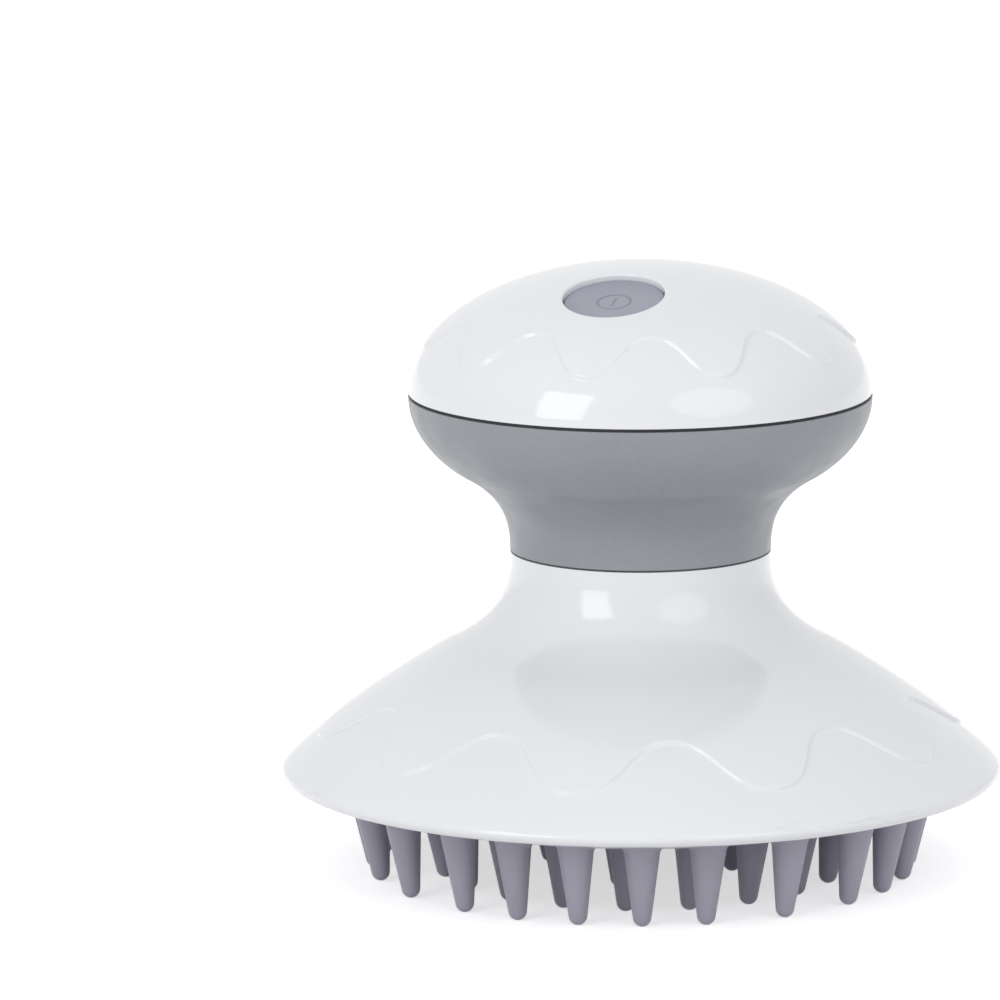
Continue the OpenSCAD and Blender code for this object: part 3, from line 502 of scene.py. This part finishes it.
def cell_wrap():
    """A shrink sleeve in two plain tones over a steel can, with bare metal at the ends."""
    look = Look("cell_wrap", Coat_Weight=0.4, Coat_Roughness=0.12)
    z = look.height()
    top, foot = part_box("battery_cells")[1][2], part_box("battery_cells")[0][2]

    def above(level, rising=1):
        return look.ramp(z, level - rising * CELL_EDGE * MM, level + rising * CELL_EDGE * MM)
    bare = look.math("MAXIMUM", above(top - CELL_BARE * MM), above(foot + CELL_BARE * MM, -1))
    grain = look.ramp(look.noise(700, 4))
    dark = look.mix(grain, lin(40, 42, 46), lin(52, 54, 58))
    copper = look.mix(grain, lin(176, 108, 62), lin(196, 124, 74))
    look.color(look.mix(bare, look.mix(above(top - CELL_BAND * MM), dark, copper),
                        lin(196, 198, 200)))
    look.feed(look.bsdf.inputs["Metallic"], bare)
    look.gloss(260, 4, 0.24, 0.36)
    look.bump(look.noise(1200, 2), 0.01, 0.5)
    return look.mat


def board_green():
    """Green lacquer over faint raised tracks."""
    look = Look("board_green_lacquer", Coat_Weight=0.5, Coat_Roughness=0.15)
    weave = look.node("ShaderNodeTexWave", bands_direction="X")
    for key, value in (("Scale", 190), ("Distortion", 2.5), ("Vector", look.coords)):
        look.feed(weave.inputs[key], value)
    tracks = look.ramp(weave.outputs["Fac"], 0.72, 0.78)
    green = look.mix(look.ramp(look.noise(400, 3)), lin(12, 74, 40), lin(18, 88, 50))
    look.color(look.mix(look.math("MULTIPLY", tracks, 0.5), green, lin(44, 122, 70)))
    look.gloss(300, 4, 0.3, 0.42)
    look.bump(tracks, 0.03, 0.6)
    return look.mat


# A look for each material slot of the record
LOOKS = {
    "shell_white": shell_white("shell_white_gloss", 0.11, 0.05),
    "grip_grey": grip_grey(),
    "soft_pad": soft_pad(),
    "button_grey": button_face(),
    "seal_black": plastic("seal_rubber", (46, 48, 51), 0.62, 1800, 0.03, 0.12, 0.08),
    "board_green": board_green(),
    "switch_black": plastic("switch_moulding", (42, 44, 48), 0.4, 2000, 0.02, 0.1),
    "carrier_black": plastic("carrier_moulding", (66, 68, 72), 0.46, 1500, 0.03, 0.08),
    "contact_metal": metal("contact_brass", (212, 184, 118), 0.27, (12, 1, 1)),
    "wire_red": plastic("wire_insulation", (170, 32, 30), 0.38, 1500, 0.02, 0.1),
    "tray_grey": plastic("tray_moulding", (90, 93, 97), 0.44, 1600, 0.03, 0.07),
    "cell_metal": cell_wrap(),
    "spring_steel": metal("spring_wire", (200, 201, 204), 0.24),
    "screw_steel": metal("screw_plating", (196, 197, 200), 0.28, (1, 1, 6)),
    "motor_steel": metal("motor_can_zinc", (188, 190, 194), 0.34, (1, 1, 0.1)),
    "weight_metal": metal("weight_brass", (176, 156, 108), 0.36, (1, 1, 8)),
    "cup_grey": plastic("cup_moulding", (182, 185, 190), 0.42, 1600, 0.03, 0.05),
    "clamp_steel": metal("clamp_steel", (184, 188, 195), 0.3, (10, 1, 1)),
    "plate_white": plastic("plate_moulding", (214, 216, 218), 0.4, 1600, 0.03, 0.04),
}
# Nodes that look a little different from the rest of their slot
OWN_LOOKS = {
    "base_shell": shell_white("base_white_gloss", 0.135, 0.09),
    "neck_gasket": plastic("neck_gasket_rubber", (92, 95, 99), 0.62, 1800, 0.03, 0.1, 0.08),
}
SLOT_OF = {part["node"]: part["material_slot"] for part in frame["record"]["subparts"]}


def look_of(node):
    return OWN_LOOKS.get(node, LOOKS[SLOT_OF[node]])


for node_name, node_obj in frame["nodes"].items():
    for slot_ref in node_obj.material_slots:
        slot_ref.material = look_of(node_name)


def finish_piece(obj, body, node, sharp_angle):
    """Gives a piece its node's look, crisp edges over an angle and its body, and hides the node."""
    obj.data.materials.append(look_of(node))
    obj.data.set_sharp_from_angle(angle=math.radians(sharp_angle))
    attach(obj, body)
    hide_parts(node)


# ---- Skins with a raised area that ends in lobes -----------------------------------------

LOBE_FILL = 0.5      # 0 for a cosine's lobes, 1 for the fullest
CAP_HALF_STEP, BASE_HALF_STEP = 0.42, 0.24      # half the width of the step at its edge
STEP_ROWS = 10


class Lobes:
    """The lobed edge of a raised area, and the soft step down from it."""

    def __init__(self, radius, depth, count, turn, half_step):
        self.radius, self.depth, self.count, self.turn = radius, depth, count, turn
        self.half_step = half_step

    def radius_at(self, theta):
        c = math.cos(self.count * (theta + math.pi / 2 - self.turn))
        return self.radius + self.depth * (c + LOBE_FILL * (math.sin(math.pi / 2 * c) - c))

    def step(self, path, theta):
        """The lengths along a profile where the step starts and ends. It's longer where the
        edge runs slanted, so that its width stays even across the edge."""
        nearby = 1e-4
        rise = self.radius_at(theta + nearby) - self.radius_at(theta - nearby)
        slope = rise / (2 * nearby) / self.radius_at(theta)
        half = self.half_step * math.sqrt(1 + slope * slope)
        edge = path.s_at_radius(self.radius_at(theta))
        return edge - half, edge + half


CAP_LOBES = Lobes(CAP_R - CAP_WAVE_IN, CAP_WAVE_A, CAP_WAVES, 0, CAP_HALF_STEP)
BASE_LOBES = Lobes(BASE_R - BASE_WAVE_IN, BASE_WAVE_A, BASE_WAVES, BASE_TURN,
                   BASE_HALF_STEP)

BASE_SIDES, BASE_RAISED_ROWS, BASE_RIM_ROWS = 720, 70, 46
BASE_FADE_IN = 22      # length from the neck over which the raised area gets its height


def base_column(path, theta):
    """The points of the base's skin at one angle, from the neck to the rim's foot."""
    a, b = BASE_LOBES.step(path, theta)
    stops = (evenly(0, a, BASE_RAISED_ROWS) + evenly(a, b, STEP_ROWS)
             + evenly(b, path.length, BASE_RIM_ROWS) + [path.length])
    column = []
    for s in stops:
        lift = BASE_RELIEF * smooth(s / BASE_FADE_IN) * (1 - smooth((s - a) / (b - a)))
        r, z = path.at(s, lift)
        column.append(polar(r, theta, z))
    return column


def base_skin():
    path = Path(base_path(60))
    columns = [base_column(path, theta) for theta in round_angles(BASE_SIDES)]
    return skin(list(zip(*columns)), flip=True)


# ---- The cap's skin, with a rounded lip round the button ---------------------------------

CAP_SIDES, BORE_ROWS, LIP_ROWS = 600, 3, 10
CALM_ROWS, RAISED_ROWS, CAP_RIM_ROWS = 54, 30, 34
CALM_IN = 1.3
CALM_R = CAP_LOBES.radius - CAP_LOBES.depth - CALM_IN      # a circle inside all the lobes
LIP_ROUND = 0.5
LIP_OUT = BORE_R + LIP_ROUND
BORE_FOOT_W = -3.2           # a height w is measured along the button's axis
BORE_COVER = 0.01            # the scene's bore wall stands this far before the solid's
BISECTIONS = 30


def button_frame():
    """The button's own frame: its origin on the plain dome, its z along the button's axis."""
    half_span = 0.05
    fall = dome_z(BUTTON_Y - half_span) - dome_z(BUTTON_Y + half_span)
    tilt = math.atan(fall / (2 * half_span))
    return Matrix.Translation((0, -BUTTON_Y, dome_z(BUTTON_Y))) @ Matrix.Rotation(tilt, 4, "X")


AT_BUTTON = button_frame()
TO_BUTTON = AT_BUTTON.inverted()


def raised_point(path, x, y):
    """The raised area's point that stands on the plain dome's point over (x, y)."""
    r = math.hypot(x, y)
    out, z = path.at(path.s_at_radius(r), CAP_RELIEF)
    grow = out / r if r else 1
    return (x * grow, y * grow, z)


def lip_height(path, rho, phi):
    """The raised area's height w at a radius and an angle round the button's axis."""
    low, high = -4.0, 2.0      # well under it and well over it
    for _ in range(BISECTIONS):
        w = (low + high) / 2
        p = AT_BUTTON @ Vector(polar(rho, phi, w))
        r = math.hypot(p.x, p.y)
        s = path.s_at_radius(r)
        foot, end = path.at(s), path.at(s, 1.0)
        over = (r - foot[0]) * (end[0] - foot[0]) + (p.z - foot[1]) * (end[1] - foot[1])
        if over > CAP_RELIEF:
            high = w
        else:
            low = w
    return (low + high) / 2


def lip_rows(path, angles):
    """Rows of points round the button: the bore's wall, then the rounded lip over it."""
    outer = [lip_height(path, LIP_OUT, phi) for phi in angles]
    inner = [lip_height(path, BORE_R, phi) for phi in angles]
    rows = []
    for i in range(BORE_ROWS):
        share = i / BORE_ROWS
        rows.append([AT_BUTTON @ Vector(polar(
            BORE_R - BORE_COVER, phi, BORE_FOOT_W * (1 - share) + (w - LIP_ROUND) * share))
            for phi, w in zip(angles, inner)])
    for i in range(LIP_ROWS + 1):
        t = math.pi / 2 * i / LIP_ROWS
        share = 1 - math.cos(t)
        drop = LIP_ROUND * (1 - math.sin(t))
        rows.append([AT_BUTTON @ Vector(polar(
            BORE_R + LIP_ROUND * share, phi, w_in * (1 - share) + w_out * share - drop))
            for phi, w_in, w_out in zip(angles, inner, outer)])
    return rows


def cap_column(path, theta, lip):
    """The points of the cap's skin from a point on the lip to the seam at one angle."""
    a, b = CAP_LOBES.step(path, theta)
    shifted = raised_point(path, lip.x, lip.y)
    start = (2 * lip.x - shifted[0], 2 * lip.y - shifted[1])      # so that it meets the lip
    calm, edge = polar(CALM_R, theta, 0), polar(path.at(a)[0], theta, 0)
    column = []
    for near, far, rows in ((start, calm, CALM_ROWS), (calm, edge, RAISED_ROWS)):
        for i in range(1, rows + 1):
            x, y = (near[k] * (1 - i / rows) + far[k] * i / rows for k in (0, 1))
            column.append(raised_point(path, x, y))
    for s in evenly(a, b, STEP_ROWS)[1:] + evenly(b, path.length, CAP_RIM_ROWS) + [path.length]:
        r, z = path.at(s, CAP_RELIEF * (1 - smooth((s - a) / (b - a))))
        column.append(polar(r, theta, z))
    return column


def cap_skin():
    path = Path(dome_path(400))
    angles = round_angles(CAP_SIDES)
    rows = lip_rows(path, angles)
    columns = [cap_column(path, theta, lip) for theta, lip in zip(angles, rows[-1])]
    return skin(rows + list(zip(*columns)), flip=True)


# ---- The three shells: new outer skins on the solids' own inner faces --------------------

NEAR = 0.06            # how far off its profile a solid's outer face may lie
BASE_UNDER = 0.3       # and how far under it at the base
CHAMFER_OUT, CHAMFER_UNDER = 0.3, 0.02      # and how far past the lip and under the recess
SHELL_SHARP = 38       # degrees
GRIP_SIDES = 288

dome_near = near_profile(dome_path(22), NEAR, CAP_RELIEF + NEAR)
base_near = near_profile(base_path(14), BASE_UNDER, BASE_RELIEF + NEAR)
grip_near = near_profile(grip_path(12), NEAR, NEAR)


def on_cap(x, y, z):
    """Whether a point lies on the solid's dome, or on its small chamfer round the bore."""
    p = TO_BUTTON @ Vector((x, y, z))
    over_recess = p.z > -BUTTON_RECESS - CHAMFER_UNDER
    in_lip = over_recess and math.hypot(p.x, p.y) < LIP_OUT + CHAMFER_OUT
    return in_lip or dome_near(x, y, z)


cap = joined("top_cap_shell", cap_skin(), kept_faces("top_cap", on_cap))
finish_piece(cap, "cap", "top_cap", SHELL_SHARP)

base = joined("base_shell_moulding", base_skin(), kept_faces("base_shell", base_near))
finish_piece(base, "handle", "base_shell", SHELL_SHARP)

grip = joined("grip_bowl", skin(turned_rows(grip_path(44), GRIP_SIDES), flip=True),
              kept_faces("grip_shell", grip_near))
finish_piece(grip, "handle", "grip_shell", SHELL_SHARP)


# ---- Push button with a ring and a bar sunk into its face --------------------------------

BUTTON_SIDES, MARK_ROWS, PLAIN_ROWS, EDGE_ROWS = 192, 52, 12, 6
EDGE_ROUND = 0.3
CENTRE_R = 0.06                # one flat face closes the middle of the dished face
MARK_R, MARK_BAR, MARK_W, MARK_DEPTH, MARK_SOFT = 2.75, 1.25, 0.34, 0.09, 0.12
MARK_ZONE_R = 4.2              # the rows are closer inside it
CRISP = 0.01                   # a second row this close to an edge keeps it crisp


def mark_share(x, y):
    """1 in the mark's line, 0 outside it, with soft sides."""
    ring = abs(math.hypot(x, y) - MARK_R)
    bar = math.hypot(x, max(abs(y) - MARK_BAR, 0))
    return 1 - smooth((min(ring, bar) - MARK_W / 2) / MARK_SOFT)


def face_w(r):
    """Height w of the dished face at a radius."""
    return -BUTTON_RECESS - BUTTON_DISH * (1 - (r / BUTTON_R) ** 2)


def button_profile(face_r):
    """The button's side from the edge of its face down, its flange and its stem."""
    edge = [(face_r + EDGE_ROUND * math.sin(t), face_w(face_r) - EDGE_ROUND * (1 - math.cos(t)))
            for t in (math.pi / 2 * i / EDGE_ROWS for i in range(1, EDGE_ROWS + 1))]
    top_w = -BUTTON_RECESS - BUTTON_H
    low_w = top_w - FLANGE_T
    stem_w = low_w - STEM_H
    flange_r = BUTTON_R + FLANGE_W
    return edge + [
        (BUTTON_R, top_w + 2 * CRISP), (BUTTON_R, top_w),
        (flange_r - CRISP, top_w), (flange_r, top_w),
        (flange_r, low_w), (flange_r - CRISP, low_w),
        (STEM_R + CRISP, low_w), (STEM_R, low_w),
        (STEM_R, stem_w), (STEM_R - CRISP, stem_w), (2 * CRISP, stem_w)]


def button_piece():
    angles = round_angles(BUTTON_SIDES)
    face_r = BUTTON_R - EDGE_ROUND
    radii = (evenly(CENTRE_R, MARK_ZONE_R, MARK_ROWS)
             + evenly(MARK_ZONE_R, face_r, PLAIN_ROWS) + [face_r])
    rows = []
    for r in radii:
        ring = [polar(r, t, face_w(r)) for t in angles]
        rows.append([(x, y, w - MARK_DEPTH * mark_share(x, y)) for x, y, w in ring])
    rows += turned_rows(button_profile(face_r), BUTTON_SIDES)
    verts, faces = skin([[AT_BUTTON @ Vector(p) for p in row] for row in rows], flip=True)
    middle = list(range(BUTTON_SIDES))
    return mesh_object("power_button_cap", verts, faces + [middle])


def paint_mark(obj):
    """Gives the faces in the mark's line the mark's own material."""
    obj.data.materials.append(button_mark())
    for poly in obj.data.polygons:
        p = TO_BUTTON @ (poly.center / MM)
        on_face = p.z > -BUTTON_RECESS - BUTTON_H / 2
        if on_face and mark_share(p.x, p.y) > 0.5:
            poly.material_index = 1


button = button_piece()
finish_piece(button, "button", "power_button", 40)
paint_mark(button)


# ---- Bristle pad -------------------------------------------------------------------------

BRISTLE_SIDES, TIP_ROWS, SHAFT_ROWS, ROOT_ROWS = 36, 10, 4, 8
ROOT_SINK = 0.35                           # how far a root reaches into the pad
ROOT_ROUNDS = 8                            # of moving its end until it's that deep
ROOT_FLARE, ROOT_FLARE_W = 1.3, 0.6        # the flare's height and width
AXIS_R = 0.02                              # one flat face closes what is inside it
DISH_SIDES, DISH_ROWS, WELL_SIDES = 288, 60, 64
EDGE_IN, EDGE_CURVE = 0.35, ((0.1, 0.13), (0, 0.4))      # the pad's round lower edge: in, up
UPPER_EDGE_DROP = 0.05
WELL_TOP = 30


def closed_skin(rows):
    """A skin with flat faces that close its first and its last row."""
    sides = len(rows[0])
    verts, faces = skin(rows)
    first, last = list(range(sides)), list(range(len(verts) - sides, len(verts)))
    return verts, faces + [first[::-1], last]


def bristle(radius, azimuth, lean):
    """A tapered bristle from its round tip to a flared root that follows the pad. Its tip
    is at the radius and leans towards the middle."""
    place = (Matrix.Rotation(azimuth, 4, "Z") @ Matrix.Translation((radius, 0, TIP_R))
             @ Matrix.Rotation(lean, 4, "Y"))
    low_r, low_z = TIP_R * math.cos(TAPER), -TIP_R * math.sin(TAPER)
    widen = math.tan(TAPER)
    angles = round_angles(BRISTLE_SIDES)

    def side_r(z):
        return low_r + (z - low_z) * widen

    def root_z(t):
        """Where the bristle's side at an angle t ends in the pad."""
        z = pad_z(radius)
        for _ in range(ROOT_ROUNDS):
            p = place @ Vector(polar(side_r(z), t, z))
            z += pad_z(math.hypot(p.x, p.y)) + ROOT_SINK - p.z
        return z
    flare_starts = [root_z(t) - ROOT_FLARE for t in angles]
    tip = [(AXIS_R, -TIP_R)]
    for i in range(1, TIP_ROWS + 1):
        a = (math.pi / 2 - TAPER) * i / TIP_ROWS - math.pi / 2
        tip.append((TIP_R * math.cos(a), TIP_R * math.sin(a)))
    rows = turned_rows(tip, BRISTLE_SIDES)
    for i in range(1, SHAFT_ROWS + 1):
        heights = [low_z + (start - low_z) * i / SHAFT_ROWS for start in flare_starts]
        rows.append([polar(side_r(z), t, z) for z, t in zip(heights, angles)])
    for i in range(1, ROOT_ROWS + 1):
        share = i / ROOT_ROWS
        heights = [start + ROOT_FLARE * share for start in flare_starts]
        rows.append([polar(side_r(z) + ROOT_FLARE_W * share ** 3, t, z)
                     for z, t in zip(heights, angles)])
    return closed_skin([[place @ Vector(p) for p in row] for row in rows])


def pad_layer():
    """The pad's domed layer, before its wells are cut."""
    edge_r = PAD_R - EDGE_IN
    radii = evenly(AXIS_R, edge_r, DISH_ROWS) + [edge_r]
    points = [(r, pad_z(r)) for r in radii]
    points += [(PAD_R - inwards, pad_z(edge_r) + up) for inwards, up in EDGE_CURVE]
    points.append((PAD_R, pad_z(PAD_R) + PAD_T - UPPER_EDGE_DROP))
    points += [(r, pad_z(r) + PAD_T) for r in reversed(radii)]
    return mesh_object("pad_layer", *closed_skin(turned_rows(points, DISH_SIDES)))


def well_cutter(angle):
    """A round bar through the pad where a screw sits."""
    verts, faces = closed_skin(turned_rows([(PAD_HOLE_R, 0), (PAD_HOLE_R, WELL_TOP)], WELL_SIDES))
    cx, cy, _ = polar(PAD_R - PAD_SCREW_IN, angle, 0)
    return mesh_object("well_cutter", [(x + cx, y + cy, z) for x, y, z in verts], faces)


def dish():
    """The pad's layer with its four screw wells cut through it."""
    layer = pad_layer()
    for quarter in range(4):
        cutter = well_cutter(PAD_TURN + quarter * math.pi / 2)
        cut = layer.modifiers.new("well", "BOOLEAN")
        cut.operation, cut.solver, cut.object = "DIFFERENCE", "EXACT", cutter
        evaluated = layer.evaluated_get(bpy.context.evaluated_depsgraph_get())
        cut_mesh = bpy.data.meshes.new_from_object(evaluated)
        layer.modifiers.clear()
        layer.data = cut_mesh
        bpy.data.objects.remove(cutter)
    verts = [in_mm(v.co) for v in layer.data.vertices]
    faces = [list(poly.vertices) for poly in layer.data.polygons]
    bpy.data.objects.remove(layer)
    return verts, faces


def pad_piece():
    """The dish and its bristles: one on the axis, a middle and an inner ring, and an outer
    ring with a bristle and two wider steps beside each screw."""
    even_step = (math.pi / 2 - 2 * SCREW_STEP) / (QUARTER_COUNT - 2)
    group = [0] + [SCREW_STEP + i * even_step for i in range(QUARTER_COUNT - 1)]
    parts = [dish(), bristle(0, 0, 0)]
    for quarter in range(4):
        for a in group:
            azimuth = PAD_TURN + quarter * math.pi / 2 + a
            parts.append(bristle(PAD_R - OUTER_RING_IN, azimuth, LEAN))
    for ring_r, count in ((PAD_R - INNER_RING_IN, INNER_COUNT), (MIDDLE_RING_R, MIDDLE_COUNT)):
        parts += [bristle(ring_r, PAD_TURN + a, LEAN) for a in round_angles(count)]
    return joined("bristle_pad_moulding", *parts)


finish_piece(pad_piece(), "handle", "bristle_pad", 50)


# ---- Camera, floor and light, in metres --------------------------------------------------

CAM_TURN = math.radians(14.5)      # of the camera and the lamps, round the object
CAM_AWAY, CAM_HIGH = 1.341, 0.302
CAM_PITCH, CAM_YAW, CAM_ROLL = 0.1766, -0.0175, -0.0048
CAM_LENS, CAM_SENSOR = 293.48, 36  # millimetres
CAM_REACH = 50
LAMP_AWAY, MIDDLE_Z, LOW_Z = 1.5, 0.06, 0.03
FLOOR_HALF = 30
FLOOR_GLOW, AMBIENT = 0.6, 0.76

SCENE = bpy.context.scene
TURN = Matrix.Rotation(CAM_TURN, 3, "Z")


def aim(obj, position, forward, right):
    basis = Matrix((right, right.cross(forward), -forward)).transposed()
    obj.matrix_world = Matrix.Translation(position) @ basis.to_4x4()


def photo_camera():
    data = bpy.data.cameras.new("photo_camera")
    data.sensor_width, data.lens, data.clip_end = CAM_SENSOR, CAM_LENS, CAM_REACH
    camera = bpy.data.objects.new("photo_camera", data)
    SCENE.collection.objects.link(camera)
    forward = Vector((math.sin(CAM_YAW) * math.cos(CAM_PITCH),
                      math.cos(CAM_YAW) * math.cos(CAM_PITCH), -math.sin(CAM_PITCH)))
    level = Vector((math.cos(CAM_YAW), -math.sin(CAM_YAW), 0))
    right = math.cos(CAM_ROLL) * level + math.sin(CAM_ROLL) * level.cross(forward)
    aim(camera, TURN @ Vector((0, -CAM_AWAY, CAM_HIGH)), TURN @ forward, TURN @ right)
    SCENE.camera = camera


def soft_box(name, direction, aim_z, width, height, power, shape="RECTANGLE"):
    """An area lamp. Its direction is its azimuth and elevation in degrees as seen from the
    object's middle, where the camera's side is 0."""
    azimuth, elevation = (math.radians(d) for d in direction)
    position = TURN @ Vector((LAMP_AWAY * math.cos(elevation) * math.sin(azimuth),
                              -LAMP_AWAY * math.cos(elevation) * math.cos(azimuth),
                              MIDDLE_Z + LAMP_AWAY * math.sin(elevation)))
    data = bpy.data.lights.new(name, "AREA")
    data.shape, data.size, data.size_y, data.energy = shape, width, height, power
    lamp = bpy.data.objects.new(name, data)
    SCENE.collection.objects.link(lamp)
    forward = (Vector((0, 0, aim_z)) - position).normalized()
    aim(lamp, position, forward, forward.cross(Vector((0, 0, 1))).normalized())


def seen_as_background(tree):
    """1 for the rays that see the background: the camera's, mirrored ones and those through
    glass."""
    path = tree.nodes.new("ShaderNodeLightPath")
    out = path.outputs["Is Camera Ray"]
    for name in ("Is Glossy Ray", "Is Transmission Ray"):
        most = tree.nodes.new("ShaderNodeMath")
        most.operation = "MAXIMUM"
        tree.links.new(out, most.inputs[0])
        tree.links.new(path.outputs[name], most.inputs[1])
        out = most.outputs[0]
    return out


def floor_white():
    """A pale matte floor that looks white as a background and keeps the object's shadow."""
    look = Look("floor_white", Roughness=0.9, Specular_IOR_Level=0.1)
    look.color((0.8, 0.8, 0.8))
    glow = look.node("ShaderNodeEmission")
    look.feed(glow.inputs["Strength"],
              look.math("MULTIPLY", seen_as_background(look.mat.node_tree), FLOOR_GLOW))
    add = look.node("ShaderNodeAddShader")
    look.feed(add.inputs[0], look.bsdf.outputs[0])
    look.feed(add.inputs[1], glow.outputs[0])
    look.feed(look.nodes["Material Output"].inputs["Surface"], add.outputs[0])
    return look.mat


def studio_world():
    """A soft light from all round, in front of a white background."""
    world = bpy.data.worlds.new("studio")
    world.use_nodes = True
    nodes, links = world.node_tree.nodes, world.node_tree.links
    ambient = nodes["Background"]
    ambient.inputs["Color"].default_value = (0.985, 0.99, 1.0, 1)
    ambient.inputs["Strength"].default_value = AMBIENT
    white = nodes.new("ShaderNodeBackground")
    white.inputs["Color"].default_value = (1, 1, 1, 1)
    white.inputs["Strength"].default_value = 1.0
    swap = nodes.new("ShaderNodeMixShader")
    links.new(seen_as_background(world.node_tree), swap.inputs[0])
    links.new(ambient.outputs[0], swap.inputs[1])
    links.new(white.outputs[0], swap.inputs[2])
    links.new(swap.outputs[0], nodes["World Output"].inputs["Surface"])
    return world


photo_camera()
soft_box("key_box", (-40, 21), MIDDLE_Z, 0.64, 0.98, 5.6)
soft_box("fill_box", (38, 26), MIDDLE_Z, 1.08, 1.05, 3.0, "ELLIPSE")
soft_box("low_box", (8, 3), LOW_Z, 1.8, 0.3, 0.4)

corners = [(x * FLOOR_HALF, y * FLOOR_HALF, 0) for x, y in ((-1, -1), (1, -1), (1, 1), (-1, 1))]
floor = mesh_object("floor", corners, [[0, 1, 2, 3]], unit=1)
floor.data.materials.append(floor_white())

SCENE.world = studio_world()
SCENE.view_settings.view_transform = "Standard"
